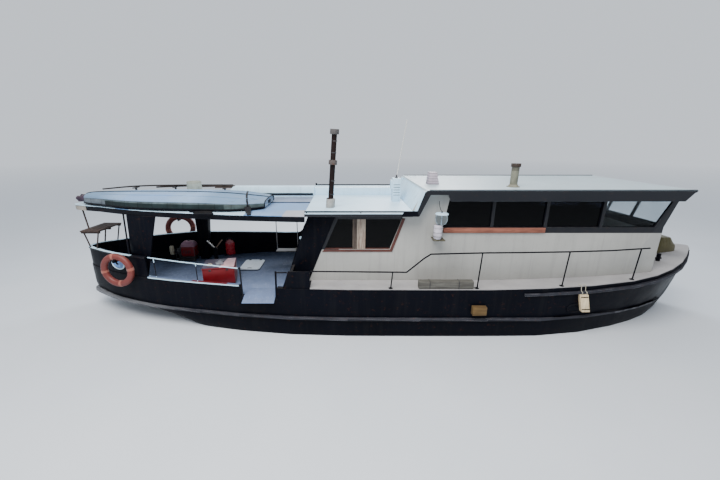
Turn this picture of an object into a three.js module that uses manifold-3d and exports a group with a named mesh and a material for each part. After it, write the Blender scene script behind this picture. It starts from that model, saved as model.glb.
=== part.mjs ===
// Houseboat on a displacement hull, full size, millimetres, +X to the bow, +Z up, water at z = 0.
import * as THREE from 'three';
import Module from 'manifold-3d';
import { mergeVertices } from 'three/examples/jsm/utils/BufferGeometryUtils.js';

const wasm = await Module();
wasm.setup();

// Hull plan: station x, half breadth at the deck edge, keel height, deck height, bilge fullness.
const STATIONS = [
  { x: -7330, half: 20, keel: 520, deck: 1080, full: 2.0 },
  { x: -7305, half: 110, keel: 440, deck: 1080, full: 2.0 },
  { x: -7235, half: 205, keel: 380, deck: 1080, full: 2.0 },
  { x: -7090, half: 310, keel: 320, deck: 1080, full: 2.0 },
  { x: -6860, half: 445, keel: 255, deck: 1080, full: 2.0 },
  { x: -6600, half: 600, keel: 200, deck: 1080, full: 2.0 },
  { x: -6250, half: 770, keel: 175, deck: 1080, full: 2.0 },
  { x: -5800, half: 950, keel: 120, deck: 1080, full: 2.0 },
  { x: -5300, half: 1100, keel: 30, deck: 1080, full: 2.1 },
  { x: -4800, half: 1220, keel: -110, deck: 1080, full: 2.2 },
  { x: -4200, half: 1340, keel: -340, deck: 1080, full: 2.4 },
  { x: -3300, half: 1500, keel: -570, deck: 1080, full: 2.6 },
  { x: -2200, half: 1630, keel: -700, deck: 1080, full: 2.9 },
  { x: -1000, half: 1690, keel: -740, deck: 1080, full: 3.1 },
  { x: 500, half: 1700, keel: -740, deck: 1080, full: 3.1 },
  { x: 1900, half: 1700, keel: -730, deck: 1080, full: 3.0 },
  { x: 3000, half: 1690, keel: -715, deck: 1105, full: 2.8 },
  { x: 4000, half: 1650, keel: -690, deck: 1150, full: 2.5 },
  { x: 4900, half: 1550, keel: -655, deck: 1210, full: 2.2 },
  { x: 5500, half: 1400, keel: -600, deck: 1270, full: 2.0 },
  { x: 6000, half: 1190, keel: -500, deck: 1330, full: 1.9 },
  { x: 6450, half: 920, keel: -320, deck: 1385, full: 1.8 },
  { x: 6850, half: 600, keel: -20, deck: 1435, full: 1.7 },
  { x: 7150, half: 320, keel: 400, deck: 1465, full: 1.6 },
  { x: 7330, half: 140, keel: 850, deck: 1485, full: 1.5 },
  { x: 7400, half: 35, keel: 1200, deck: 1495, full: 1.5 },
];
// Canopy plan: station x and half breadth of the edge beam.
const CANOPY_PLAN = [
  { x: -7430, half: 25 },
  { x: -7400, half: 110 },
  { x: -7300, half: 205 },
  { x: -7060, half: 300 },
  { x: -6600, half: 440 },
  { x: -6250, half: 590 },
  { x: -5800, half: 765 },
  { x: -5300, half: 915 },
  { x: -4800, half: 1035 },
  { x: -4200, half: 1155 },
  { x: -3300, half: 1315 },
  { x: -2200, half: 1445 },
  { x: -1700, half: 1475 },
];
// Top of the bulwark, x and z, from the stern to the cabin.
const SHEER = [[-7600, 1490], [-6600, 1515], [-5200, 1535], [-4000, 1470], [-2800, 1400], [-1700, 1375]];
const SECTION_STEPS = 9;
const TOPSIDE_FOOT = 300;

const GAP = 0.3;
const DECK_Z = 1080;
const FLOOR_Z = 860;
const FLOOR_T = 16;
const BULWARK_T = 45;
const WING_TOP = 1450;
const CAP_T = 30;
const GATE_AFT = -3230;
const GATE_FWD = -2450;
const COAMING_AFT = -5400;
const BULKHEAD_FOOT = -2290;
const BULKHEAD_TOP = -1790;

const CABIN_HALF = 1200;
const CABIN_T = 40;
const ROOF_HALF = 1450;
const ROOF_T = 40;
const AFT_ROOF_Z = 2614;
const FWD_ROOF_Z = 3065;
const AFT_UNDER = AFT_ROOF_Z - ROOF_T - GAP;
const FWD_UNDER = FWD_ROOF_Z - ROOF_T - GAP;
const CABIN_AFT = -1770;
const STEP_FOOT = 350;
const STEP_TOP = 570;
const CABIN_FRONT = 5530;
const ROOF_FRONT = 5770;
const SOLE_Z = 450;
const SHAFT_Z = -400;
const SHAFT_R = 22;
const BEARING = 0.9;
const RUDDER = { x: -5560, stock: 22, pin: 14, head: 200 };
const DOOR = { y0: -800, y1: -160, z0: 900, z1: 2180, t: 36, lap: 20 };

const CANOPY_Z = 2550;
const CANOPY_DEPTH = 110;
const SWING = { x0: -2840, x1: -2295, y: 550, z: 1210, pivot: CANOPY_Z - 130, pin: 13, lugs: [-2810, -2400] };

// Lifebuoys: centre and heading of the ring.
const BUOYS = [
  { name: 'lifebuoy_quarter', x: -6036, y: -1054, z: 1262, heading: -0.12 },
  { name: 'lifebuoy_port', x: -5612, y: 1108, z: 1660, heading: 0.3 },
];
const BUOY_R = 314;
const BUOY_T = 72;

const COLOURS = {
  black: ['#15171c', 0.5, 0.2],
  side: ['#bfc0ba', 0.55, 0.1],
  white: ['#dfe5ea', 0.45, 0.1],
  strake: ['#a9a9a3', 0.7, 0.1],
  deck: ['#a8b2bd', 0.7, 0.1],
  floor: ['#8694a8', 0.6, 0.2],
  wood: ['#8a4b3a', 0.8, 0],
  board: ['#6b5a4c', 0.9, 0],
  glass: ['#1a1f26', 0.1, 0],
  buoy: ['#c4553a', 0.6, 0],
  red: ['#a01018', 0.5, 0.1],
  steel: ['#6f7378', 0.5, 0.6],
  cream: ['#d8c49a', 0.7, 0],
  bronze: ['#9a6b35', 0.4, 0.8],
  rust: ['#5b4034', 0.9, 0.2],
  dinghy: ['#8fa9c4', 0.6, 0],
  fabric: ['#4f4f3c', 0.95, 0],
};

const group = new THREE.Group();
group.name = 'houseboat';

function solidOf(geometry) {
  const g = geometry.clone();
  g.deleteAttribute('normal');
  g.deleteAttribute('uv');
  const merged = mergeVertices(g, 0.001);
  const vertProperties = new Float32Array(merged.attributes.position.array);
  const triVerts = new Uint32Array(merged.index.array);
  return new wasm.Manifold(new wasm.Mesh({ numProp: 3, vertProperties, triVerts }));
}

function geometryOf(solid) {
  const mesh = solid.getMesh();
  const g = new THREE.BufferGeometry();
  const points = new Float32Array(mesh.numVert * 3);
  for (let i = 0; i < mesh.numVert; i += 1) {
    for (let k = 0; k < 3; k += 1) {
      points[3 * i + k] = mesh.vertProperties[i * mesh.numProp + k];
    }
  }
  g.setAttribute('position', new THREE.BufferAttribute(points, 3));
  g.setIndex(new THREE.BufferAttribute(new Uint32Array(mesh.triVerts), 1));
  const flat = g.toNonIndexed();
  flat.computeVertexNormals();
  return flat;
}

function node(name, solid, colour, parent = group) {
  const [hex, roughness, metalness] = COLOURS[colour];
  const material = new THREE.MeshStandardMaterial({ color: hex, roughness, metalness });
  material.name = `${name}_material`;
  const mesh = new THREE.Mesh(geometryOf(solid), material);
  mesh.name = name;
  parent.add(mesh);
  return solid;
}

function box(x0, x1, y0, y1, z0, z1) {
  const g = new THREE.BoxGeometry(x1 - x0, y1 - y0, z1 - z0);
  g.translate((x0 + x1) / 2, (y0 + y1) / 2, (z0 + z1) / 2);
  return solidOf(g);
}

function shapeOf(points) {
  const shape = new THREE.Shape();
  points.forEach(([a, b], i) => (i ? shape.lineTo(a, b) : shape.moveTo(a, b)));
  shape.closePath();
  return shape;
}

// Side-view polygon of x,z pairs made thick from y0 to y1.
function sidePlate(points, y0, y1) {
  const g = new THREE.ExtrudeGeometry(shapeOf(points), { depth: y1 - y0, bevelEnabled: false });
  g.rotateX(Math.PI / 2);
  g.translate(0, y1, 0);
  return solidOf(g);
}

// Plan polygon of x,y pairs made thick from z0 to z1.
function planPlate(points, z0, z1) {
  const g = new THREE.ExtrudeGeometry(shapeOf(points), { depth: z1 - z0, bevelEnabled: false });
  g.translate(0, 0, z0);
  return solidOf(g);
}

// Cross-section polygon of y,z pairs made thick from x0 to x1.
function crossPlate(points, x0, x1) {
  const g = new THREE.ExtrudeGeometry(shapeOf(points), { depth: x1 - x0, bevelEnabled: false });
  g.rotateX(Math.PI / 2);
  g.rotateZ(Math.PI / 2);
  g.translate(x0, 0, 0);
  return solidOf(g);
}

function rod(from, to, radius, sides = 10) {
  const a = new THREE.Vector3(...from);
  const b = new THREE.Vector3(...to);
  const along = b.clone().sub(a);
  const g = new THREE.CylinderGeometry(radius, radius, along.length(), sides);
  const turn = new THREE.Quaternion().setFromUnitVectors(new THREE.Vector3(0, 1, 0), along.normalize());
  g.applyQuaternion(turn);
  const mid = a.add(b).multiplyScalar(0.5);
  g.translate(mid.x, mid.y, mid.z);
  return solidOf(g);
}

// Closed skin over rings of equal point count.
function skin(points, count, rings) {
  const index = [];
  for (let i = 0; i < rings - 1; i += 1) {
    for (let k = 0; k < count; k += 1) {
      const a = i * count + k;
      const b = i * count + ((k + 1) % count);
      index.push(a, b, a + count, b, b + count, a + count);
    }
  }
  const cap = (base, flip) => {
    for (let k = 1; k < count - 1; k += 1) {
      const tri = [base, base + k, base + k + 1];
      index.push(...(flip ? tri.reverse() : tri));
    }
  };
  cap(0, true);
  cap((rings - 1) * count, false);
  const g = new THREE.BufferGeometry();
  g.setAttribute('position', new THREE.BufferAttribute(new Float32Array(points), 3));
  g.setIndex(index);
  return solidFrom(g);
}

// Round bar swept through a list of points, mitred at each bend.
function tube(points, radius, sides = 8) {
  const path = points.map((p) => new THREE.Vector3(...p));
  const dirs = path.slice(1).map((p, i) => p.clone().sub(path[i]).normalize());
  const first = new THREE.Vector3(0.31, 0.17, 0.93);
  let u = first.sub(dirs[0].clone().multiplyScalar(first.dot(dirs[0]))).normalize();
  const coords = [];
  path.forEach((p, i) => {
    const d0 = dirs[Math.max(0, i - 1)];
    const d1 = dirs[Math.min(dirs.length - 1, i)];
    const t = d0.clone().add(d1).normalize();
    const bend = d1.clone().sub(d0);
    const stretch = 1 / t.dot(d0) - 1;
    const n = bend.length() > 1e-6 ? bend.normalize() : bend.set(0, 0, 0);
    u = u.clone().sub(t.clone().multiplyScalar(u.dot(t))).normalize();
    const v = t.clone().cross(u);
    for (let k = 0; k < sides; k += 1) {
      const a = (2 * Math.PI * k) / sides;
      const w = u.clone().multiplyScalar(Math.cos(a) * radius).add(v.clone().multiplyScalar(Math.sin(a) * radius));
      w.add(n.clone().multiplyScalar(w.dot(n) * stretch)).add(p);
      coords.push(w.x, w.y, w.z);
    }
  });
  return skin(coords, sides, path.length);
}

function join(list) {
  return list.reduce((sum, one) => sum.add(one));
}

function cut(solid, list) {
  return list.reduce((rest, one) => rest.subtract(one), solid);
}

function mirrored(solid) {
  return solid.mirror([0, 1, 0]);
}

function at(key, x, table = STATIONS) {
  const last = table.length - 1;
  if (x <= table[0].x) {
    return table[0][key];
  }
  for (let i = 0; i < last; i += 1) {
    const a = table[i];
    const b = table[i + 1];
    if (x <= b.x) {
      return a[key] + ((b[key] - a[key]) * (x - a.x)) / (b.x - a.x);
    }
  }
  return table[last][key];
}

function sheer(x) {
  return at('z', x, SHEER.map(([a, z]) => ({ x: a, z })));
}

// Edge of a plan table, moved in by the inset, from the stern to an end station.
function edge(inset, xEnd, xStart = -1e9, table = STATIONS) {
  const rows = table.filter((s) => s.x < xEnd - 1 && s.x > xStart + 1);
  const xs = rows.map((s) => s.x).concat([xEnd]);
  if (xStart > -1e8) {
    xs.unshift(xStart);
  }
  const points = [];
  xs.forEach((x) => {
    const slope = (at('half', x + 20, table) - at('half', x - 20, table)) / 40;
    const size = Math.hypot(slope, 1);
    const px = x + (inset * slope) / size;
    const half = at('half', x, table) - inset / size;
    if (half > 8) {
      points.push([px, half]);
    }
  });
  return points;
}

// Closed plan outline from the stern to an end station, both sides.
function outline(inset, xEnd, xStart, table) {
  const side = edge(inset, xEnd, xStart, table);
  const port = side.map(([x, y]) => [x, y]);
  const starboard = side.map(([x, y]) => [x, -y]).reverse();
  return starboard.concat(port);
}

function hullSection(s) {
  const side = [];
  const foot = Math.max(TOPSIDE_FOOT, s.keel + 0.45 * (s.deck - s.keel));
  const flare = s.x > 3500 ? (s.x - 3500) / 3900 : 0;
  const footHalf = s.half * (0.985 - 0.42 * flare);
  side.push([s.half, s.deck]);
  side.push([s.half + (footHalf - s.half) * 0.45, (s.deck + foot) / 2]);
  for (let i = 0; i <= SECTION_STEPS; i += 1) {
    const a = (Math.PI / 2) * (i / SECTION_STEPS);
    const y = footHalf * Math.cos(a) ** (2 / s.full);
    const z = foot - (foot - s.keel) * Math.sin(a) ** (2 / s.full);
    side.push([i === SECTION_STEPS ? 0 : y, z]);
  }
  const other = side.slice(0, -1).map(([y, z]) => [-y, z]).reverse();
  return side.concat(other);
}

function loft(sections, xs) {
  const points = [];
  sections.forEach((ring, i) => ring.forEach(([y, z]) => points.push(xs[i], y, z)));
  return skin(points, sections[0].length, sections.length);
}

function solidFrom(g) {
  const merged = mergeVertices(g, 0.001);
  const vertProperties = new Float32Array(merged.attributes.position.array);
  let triVerts = new Uint32Array(merged.index.array);
  let solid = new wasm.Manifold(new wasm.Mesh({ numProp: 3, vertProperties, triVerts }));
  if (solid.volume() < 0) {
    triVerts = triVerts.slice().reverse();
    solid = new wasm.Manifold(new wasm.Mesh({ numProp: 3, vertProperties, triVerts }));
  }
  return solid;
}

// Turned ring with its plane along the boat, swung by the heading.
function ringSolid(centre, major, minor, heading) {
  const g = new THREE.TorusGeometry(major, minor, 12, 36);
  g.rotateX(Math.PI / 2);
  g.rotateZ(heading);
  g.translate(...centre);
  return solidOf(g);
}

// Hull with the cockpit well, engine bay and cabin space cut out.
const bareHull = loft(STATIONS.map(hullSection), STATIONS.map((s) => s.x));
const grownHull = loft(
  STATIONS.map((s) => hullSection(s).map(([y, z]) => [y + Math.sign(y) * GAP * 2, z])),
  STATIONS.map((s) => s.x),
);
const keel = sidePlate(
  [[-6050, -770], [-6050, -830], [-2200, -860], [4800, -800], [6000, -440], [5900, -300], [4800, -400],
    [-2200, -400], [-4700, 0], [-4860, 0], [-4880, -770]],
  -35,
  35,
);
const wellCut = planPlate(outline(110, BULKHEAD_FOOT + 480, -7150), FLOOR_Z - FLOOR_T, 1600);
const RAMP = { y0: -1800, y1: -1485, drop: 105 };
const gateCut = crossPlate([[RAMP.y0, FLOOR_Z - RAMP.drop], [RAMP.y1, FLOOR_Z], [-1300, FLOOR_Z], [-1300, 1600],
  [RAMP.y0, 1600]], GATE_AFT, GATE_FWD);
const bayCut = box(-3780, -2420, -470, 720, -330, 1000).add(box(-3400, -3080, -130, 130, -470, -300));
const cabinCut = planPlate(outline(200, CABIN_FRONT - 130, CABIN_AFT + 120), SOLE_Z - 22, 1600)
  .intersect(box(CABIN_AFT + 130, CABIN_FRONT - 130, -CABIN_HALF + 80, CABIN_HALF - 80, 0, 1700));
const passCut = box(-1900, -1600, DOOR.y0 - 20, DOOR.y1 + 20, FLOOR_Z, 1300);
const shaftCut = rod([-4700, 0, SHAFT_Z], [-3200, 0, SHAFT_Z], 40)
  .add(rod([-4960, 0, SHAFT_Z], [-4690, 0, SHAFT_Z], SHAFT_R + BEARING, 24));
const stockCut = rod([RUDDER.x, 0, -20], [RUDDER.x, 0, RUDDER.head + 5], RUDDER.stock + BEARING, 24)
  .add(rod([RUDDER.x, 0, -812], [RUDDER.x, 0, -700], RUDDER.pin + BEARING, 24));
const hull = node('hull', cut(bareHull.add(keel), [wellCut, gateCut, bayCut, cabinCut, passCut, shaftCut, stockCut]),
  'black');

// Rubbing strakes follow the hull side.
function strake(z0, z1, thick, xEnd, xStart) {
  const outer = planPlate(outline(-thick, xEnd, xStart), z0, z1);
  const inner = planPlate(outline(60, xEnd + 200, xStart), z0 - 10, z1 + 10);
  return outer.subtract(inner).subtract(grownHull);
}
node('strake_lower', strake(400, 450, 40, 6300), 'strake');
function bandLoft(drop, deep, out, xStart, xEnd) {
  const rows = STATIONS.filter((s) => s.x > xStart);
  const xs = [xStart].concat(rows.map((s) => s.x)).concat([xEnd]);
  const rings = xs.map((x) => {
    const half = at('half', x) + out;
    const z = at('deck', x) - drop;
    return [[half, z - deep], [half, z], [-half, z], [-half, z - deep]];
  });
  return loft(rings, xs);
}
node('strake_upper', bandLoft(90, 50, 35, 2600, 7440).subtract(grownHull), 'strake');

// Thin deck sheet round the cabin and over the foredeck.
function deckTop(thick) {
  const rows = STATIONS.filter((s) => s.x > CABIN_AFT);
  const xs = [CABIN_AFT].concat(rows.map((s) => s.x));
  const rings = xs.map((x) => {
    const half = at('half', x) - 12;
    const z = at('deck', x) + GAP;
    return [[half, z], [half, z + thick], [-half, z + thick], [-half, z]];
  });
  return loft(rings, xs);
}
const belowDeck = bandLoft(-15, 400, 100, CABIN_AFT, 7400);
const cabinHole = box(CABIN_AFT - 300, CABIN_FRONT, -CABIN_HALF, CABIN_HALF, 900, 1700);
const deck = node('deck', deckTop(14).subtract(cabinHole), 'deck');

// Cockpit floor sheet with the hatch opening.
const HATCH = { x0: -3720, x1: -3200, y0: -60, y1: 640 };
const floorHole = box(HATCH.x0 + 30, HATCH.x1 - 30, HATCH.y0 + 30, HATCH.y1 - 30, 800, 900);
const floorPlan = planPlate(outline(111, BULKHEAD_FOOT + 478, -7140), FLOOR_Z - FLOOR_T, FLOOR_Z);
node('cockpit_floor', floorPlan.subtract(floorHole), 'floor');

// Bulwark round the stern and along the port side; the starboard side is cut down to the coaming.
function ringPlate(inset, thick, xEnd, z0, z1, table) {
  const outer = planPlate(outline(inset, xEnd, undefined, table), z0, z1);
  const inner = planPlate(outline(inset + thick, xEnd + 300, undefined, table), z0 - 10, z1 + 10);
  return outer.subtract(inner);
}

// Slab between two heights above the sheer line, across the whole boat.
function sheerBand(low, high) {
  const top = SHEER.map(([x, z]) => [x, z + high]);
  const foot = SHEER.map(([x, z]) => [x, z + low]).reverse();
  return sidePlate(top.concat(foot), -2200, 2200);
}
const bulwarkEnd = CABIN_AFT - GAP;
const stbdLow = box(COAMING_AFT, 0, -2000, 0, DECK_Z - 10, 1700);
const [near, far] = BUOYS;
const nearHook = box(near.x - 30, near.x + 30, near.y - 80, -830, 1455, near.z + BUOY_R - BUOY_T + 8);
const farHookTop = far.z + BUOY_R - BUOY_T;
const farHook = join([
  box(far.x - 12, far.x + 12, 775, far.y - BUOY_T - 4, CANOPY_Z - 98, CANOPY_Z - 74),
  box(far.x - 12, far.x + 12, far.y - BUOY_T - 26, far.y - BUOY_T - 4, farHookTop - 30, CANOPY_Z - 75),
  box(far.x - 12, far.x + 12, far.y - BUOY_T - 26, far.y + 60, farHookTop - 30, farHookTop + 8),
]);
const buoyRoom = BUOYS.map((b) => ringSolid([b.x, b.y, b.z], BUOY_R, BUOY_T + GAP, b.heading));
const hooks = cut(nearHook, buoyRoom);
const bulwark = ringPlate(15, BULWARK_T, bulwarkEnd, DECK_Z, 1700).subtract(stbdLow).subtract(sheerBand(0, 400))
  .subtract(box(CABIN_AFT - GAP, 0, -2000, 2000, 1000, 1500));
node('bulwark', bulwark.add(hooks), 'black');
const wing = ringPlate(15, BULWARK_T, CABIN_AFT - GAP, DECK_Z, WING_TOP)
  .intersect(sidePlate([[-2360, 1000], [-1740, 1000], [-1740, 1500], [-2190, 1500]], -2000, 0))
  .subtract(box(CABIN_AFT - GAP, 0, -2000, 2000, 1000, 1500));
const capRing = ringPlate(0, 75, bulwarkEnd - 30, DECK_Z, 1700).subtract(stbdLow);
node('bulwark_cap', capRing.intersect(sheerBand(GAP, CAP_T)), 'white');
const coamingCap = ringPlate(0, 80, GATE_AFT - 15, DECK_Z, DECK_Z + 28)
  .intersect(box(COAMING_AFT + 1, GATE_AFT - 16, -2000, 0, 1000, 1200));

// Canopy over the cockpit: edge beam that follows the hull plan, sheet on top, centre beam.
const CANOPY_END = BULKHEAD_TOP - 62;
const canopyEdge = ringPlate(0, 70, CANOPY_END, CANOPY_Z - CANOPY_DEPTH, CANOPY_Z, CANOPY_PLAN);
const canopyInside = planPlate(outline(35, CANOPY_END, -7330, CANOPY_PLAN), CANOPY_Z - 200, CANOPY_Z + 10);
const cross = [-6500, -5600, -4550, -3500, ...SWING.lugs, CANOPY_END - 45].map((x) =>
  box(x - 25, x + 25, -1500, 1500, CANOPY_Z - 60, CANOPY_Z).intersect(canopyInside));
const swingLugs = SWING.lugs.map((x) =>
  box(x - 12, x + 12, SWING.y - 28, SWING.y + 28, SWING.pivot - 30, CANOPY_Z - 50)
    .subtract(rod([x - 20, SWING.y, SWING.pivot], [x + 20, SWING.y, SWING.pivot], SWING.pin + BEARING, 24)));
const spine = box(-7345, CANOPY_END, -35, 35, CANOPY_Z - 80, CANOPY_Z).intersect(canopyInside);
const postHead = box(-5120, -4640, 560, 1400, CANOPY_Z - CANOPY_DEPTH, CANOPY_Z - 50).intersect(canopyInside);
const sternPosts = [[-5850, -855, -5930, -678], [-6290, 700, -6380, 498]].map(([ax, ay, bx, by]) =>
  rod([ax, ay, 1500], [bx, by, CANOPY_Z - 60], 18).subtract(sheerBand(-400, CAP_T + GAP)));
const aftOfRoof = box(-8000, CANOPY_END, -2000, 2000, 0, 3000);
const hanger = cut(farHook, buoyRoom);
const canopyFrame = join([canopyEdge, spine, postHead, hanger, ...cross, ...swingLugs, ...sternPosts])
  .intersect(aftOfRoof);
node('canopy_frame', canopyFrame, 'black');
const SHEET_LAP = 10;
const canopySheet = planPlate(outline(-SHEET_LAP, CANOPY_END, -7395, CANOPY_PLAN), CANOPY_Z, CANOPY_Z + 14);
const rib = box(-5400, CANOPY_END, -14, 14, CANOPY_Z + 13, CANOPY_Z + 34);
const ribArea = planPlate(outline(10, CANOPY_END, -7390, CANOPY_PLAN), 2500, 2700);
node('canopy_sheet', canopySheet.add(rib.intersect(ribArea)).intersect(aftOfRoof), 'white');
const portPost = sidePlate(
  [[-5010, FLOOR_Z], [-4800, FLOOR_Z], [-4670, CANOPY_Z - CANOPY_DEPTH - GAP], [-5066, CANOPY_Z - CANOPY_DEPTH - GAP]],
  800,
  990,
);
node('canopy_post_port', portPost, 'black');

// Wide pillar that carries the canopy on the near side.
const pillarSide = [[-5900, DECK_Z], [-5486, DECK_Z], [-5063, CANOPY_Z - 110], [-5800, CANOPY_Z - 110]];
const pillar = sidePlate(pillarSide, -1400, -300);
node('pillar_stbd', pillar.intersect(ringPlate(150, 40, -4500, DECK_Z, CANOPY_Z - 110 - GAP)), 'black');

// Cabin sides, hollow, with window openings.
const AFT_WINDOW = [[-1480, 1790], [-110, 1790], [120, 2440], [-1200, 2440]];
const BAND = [
  [[965, 2270], [1950, 2270], [1950, 2840], [1060, 2840]],
  [[2010, 2270], [3050, 2270], [3050, 2840], [2010, 2840]],
  [[3110, 2270], [4200, 2270], [4200, 2840], [3110, 2840]],
  [[4260, 2270], [5340, 2270], [5600, 2840], [4260, 2840]],
];
function sideWall(outlinePoints, windows) {
  const wall = sidePlate(outlinePoints, -CABIN_HALF, -CABIN_HALF + CABIN_T);
  return cut(wall, windows.map((w) => sidePlate(w, -CABIN_HALF - 20, -CABIN_HALF + CABIN_T + 20)));
}
const sideOutline = [[-1830, DECK_Z], [STEP_FOOT, DECK_Z], [CABIN_FRONT, DECK_Z], [CABIN_FRONT, 2270],
  [ROOF_FRONT - 60, 2850], [ROOF_FRONT - 100, FWD_UNDER], [STEP_TOP - 20, FWD_UNDER],
  [STEP_FOOT - 25, AFT_ROOF_Z + 2], [STEP_FOOT - 40, AFT_UNDER], [-1220, AFT_UNDER]];
const wall = sideWall(sideOutline, [AFT_WINDOW, ...BAND]).subtract(hull).subtract(belowDeck);
node('cabin_side_stbd', wall, 'side');
node('cabin_side_port', mirrored(wall), 'side');

// Raked aft bulkhead with the doorway, and the door hung on its port edge.
const RAKE = (BULKHEAD_TOP - BULKHEAD_FOOT) / (AFT_ROOF_Z - ROOF_T - DECK_Z);
function rakeX(z) {
  return BULKHEAD_FOOT + RAKE * (z - DECK_Z);
}
function rakedPlate(z0, z1, y0, y1, x0, x1) {
  return sidePlate(
    [[rakeX(z0) + x0, z0], [rakeX(z0) + x1, z0], [rakeX(z1) + x1, z1], [rakeX(z1) + x0, z1]],
    y0,
    y1,
  );
}
const bulkheadPlate = rakedPlate(FLOOR_Z, AFT_UNDER, -CABIN_HALF - 8, CABIN_HALF + 8, 0, 50);
const sideShield = rakedPlate(DECK_Z + 14, AFT_UNDER, -CABIN_HALF - 8, -CABIN_HALF + CABIN_T, 0, 560)
  .intersect(sidePlate([[-2400, 1080], [-1830 - GAP, 1080], [-1220 - GAP, AFT_UNDER], [-2000, AFT_UNDER]],
    -1300, -1100));
const doorHole = rakedPlate(DOOR.z0, DOOR.z1, DOOR.y0, DOOR.y1, -20, 90);
const HINGE = { y: DOOR.y0 - DOOR.lap - 14, off: -20, r: 12 };
function knuckle(z0, z1) {
  return rod([rakeX(z0) + HINGE.off, HINGE.y, z0], [rakeX(z1) + HINGE.off, HINGE.y, z1], HINGE.r, 24);
}
const frameKnuckles = [1200, 1900].map((z) => knuckle(z, z + 90)
  .add(rakedPlate(z + 4, z + 86, HINGE.y - 11, HINGE.y + 8, HINGE.off, 4)));
const wingWeb = rakedPlate(DECK_Z + GAP, WING_TOP, -1600, -CABIN_HALF, 0, 50);
const bulkheadBody = join([bulkheadPlate, sideShield, mirrored(sideShield), wing, wingWeb, ...frameKnuckles]);
const bulkhead = node('bulkhead_aft', cut(bulkheadBody, [doorHole, hull, deck, bulwark]), 'black');
const leaf = rakedPlate(DOOR.z0 - DOOR.lap, DOOR.z1 + DOOR.lap, DOOR.y0 - DOOR.lap, DOOR.y1 + DOOR.lap,
  -DOOR.t - GAP, -GAP);
const leafKnuckles = [[1105, 1185], [1296, 1385], [1805, 1885], [1996, 2085]].map(([z0, z1]) => knuckle(z0, z1)
  .add(rakedPlate(z1 - 76, z1 - 4, HINGE.y, DOOR.y0, HINGE.off - 8, HINGE.off + 4)));
node('cabin_door', join([leaf, ...leafKnuckles]), 'black');

// Roofs: white sheet with a black fascia under its edge.
const aftRoof = join([
  sidePlate(
    [[CANOPY_END + GAP, AFT_ROOF_Z], [CANOPY_END + GAP, AFT_ROOF_Z - ROOF_T], [STEP_FOOT - 41, AFT_ROOF_Z - ROOF_T],
      [STEP_FOOT - 26, AFT_ROOF_Z]],
    -ROOF_HALF,
    ROOF_HALF,
  ),
  ...[-ROOF_HALF, ROOF_HALF - 40].map((y) => sidePlate(
    [[CANOPY_END + GAP, AFT_UNDER + 12], [CANOPY_END + GAP, 2545], [STEP_FOOT - 62, 2545],
      [STEP_FOOT - 46, AFT_UNDER + 12]],
    y,
    y + 40,
  )),
]);
node('roof_aft', aftRoof, 'white');
const stepFace = sidePlate(
  [[STEP_FOOT - 24, AFT_ROOF_Z + 1], [STEP_FOOT + 10, AFT_ROOF_Z + 1], [STEP_TOP, FWD_UNDER],
    [STEP_TOP - 42, FWD_UNDER]],
  -CABIN_HALF + CABIN_T + GAP,
  CABIN_HALF - CABIN_T - GAP,
);
node('step_face', stepFace, 'side');
const fwdRoof = join([
  sidePlate(
    [[STEP_TOP - 30, FWD_ROOF_Z], [STEP_TOP - 50, FWD_ROOF_Z - ROOF_T], [ROOF_FRONT - 30, FWD_ROOF_Z - ROOF_T],
      [ROOF_FRONT, FWD_ROOF_Z]],
    -ROOF_HALF,
    ROOF_HALF,
  ),
  ...[-ROOF_HALF, ROOF_HALF - 40].map((y) => sidePlate(
    [[STEP_TOP - 40, FWD_UNDER + 12], [STEP_TOP - 75, 2978], [960, 2978], [1010, 2851],
      [ROOF_FRONT - 200, 2851], [ROOF_FRONT - 40, FWD_UNDER + 12]],
    y,
    y + 40,
  )),
  ...[-ROOF_HALF, CABIN_HALF + GAP].map((y) => sidePlate(
    [[STEP_FOOT - 14, 2556], [STEP_FOOT + 69, 2556], [STEP_TOP + 68, FWD_UNDER + 12],
      [STEP_TOP - 66, FWD_UNDER + 12]],
    y,
    y + ROOF_HALF - CABIN_HALF - GAP,
  )),
]);
node('roof_fwd', fwdRoof, 'white');

// Cabin front: lower plate and leaning windscreen frame.
const frontHalf = CABIN_HALF - CABIN_T - GAP;
const screenRake = (ROOF_FRONT - 60 - CABIN_FRONT) / (2850 - 2270);
function screenPlate(z0, z1, y0, y1, x0, x1) {
  const a = CABIN_FRONT + screenRake * (z0 - 2270);
  const b = CABIN_FRONT + screenRake * (z1 - 2270);
  return sidePlate([[a + x0, z0], [a + x1, z0], [b + x1, z1], [b + x0, z1]], y0, y1);
}
const frontPlate = box(CABIN_FRONT - 45, CABIN_FRONT - 5, -frontHalf, frontHalf, 1200, 2275);
const screen = screenPlate(2265, FWD_UNDER, -frontHalf, frontHalf, -45, -5)
  .intersect(box(5000, ROOF_FRONT - 105, -2000, 2000, 2000, 3100));
const lights = [[-1110, -400], [-340, 340], [400, 1110]].map(([a, b]) => screenPlate(2330, 2830, a, b, -90, 60));
node('cabin_front', cut(frontPlate.add(screen), [...lights, hull, deck, belowDeck]), 'side');

// Stove pipe with collar and cap, leaning a little forward.
const PIPE = { x: -1370, y: -810, top: 4180, lean: 110 };
const pipe = join([
  rod([PIPE.x, PIPE.y, AFT_ROOF_Z - 30], [PIPE.x + 18, PIPE.y, AFT_ROOF_Z + 190], 95, 20),
  rod([PIPE.x + 5, PIPE.y, AFT_ROOF_Z + 20], [PIPE.x + PIPE.lean, PIPE.y, PIPE.top], 55, 20),
  rod([PIPE.x + 66, PIPE.y, 3510], [PIPE.x + 72, PIPE.y, 3600], 88, 20),
  rod([PIPE.x + PIPE.lean - 4, PIPE.y, PIPE.top - 70], [PIPE.x + PIPE.lean + 2, PIPE.y, PIPE.top + 30], 92, 20),
]).subtract(box(-3000, 3000, -2000, 2000, 2000, AFT_ROOF_Z));
node('stove_pipe', pipe, 'steel');

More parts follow.
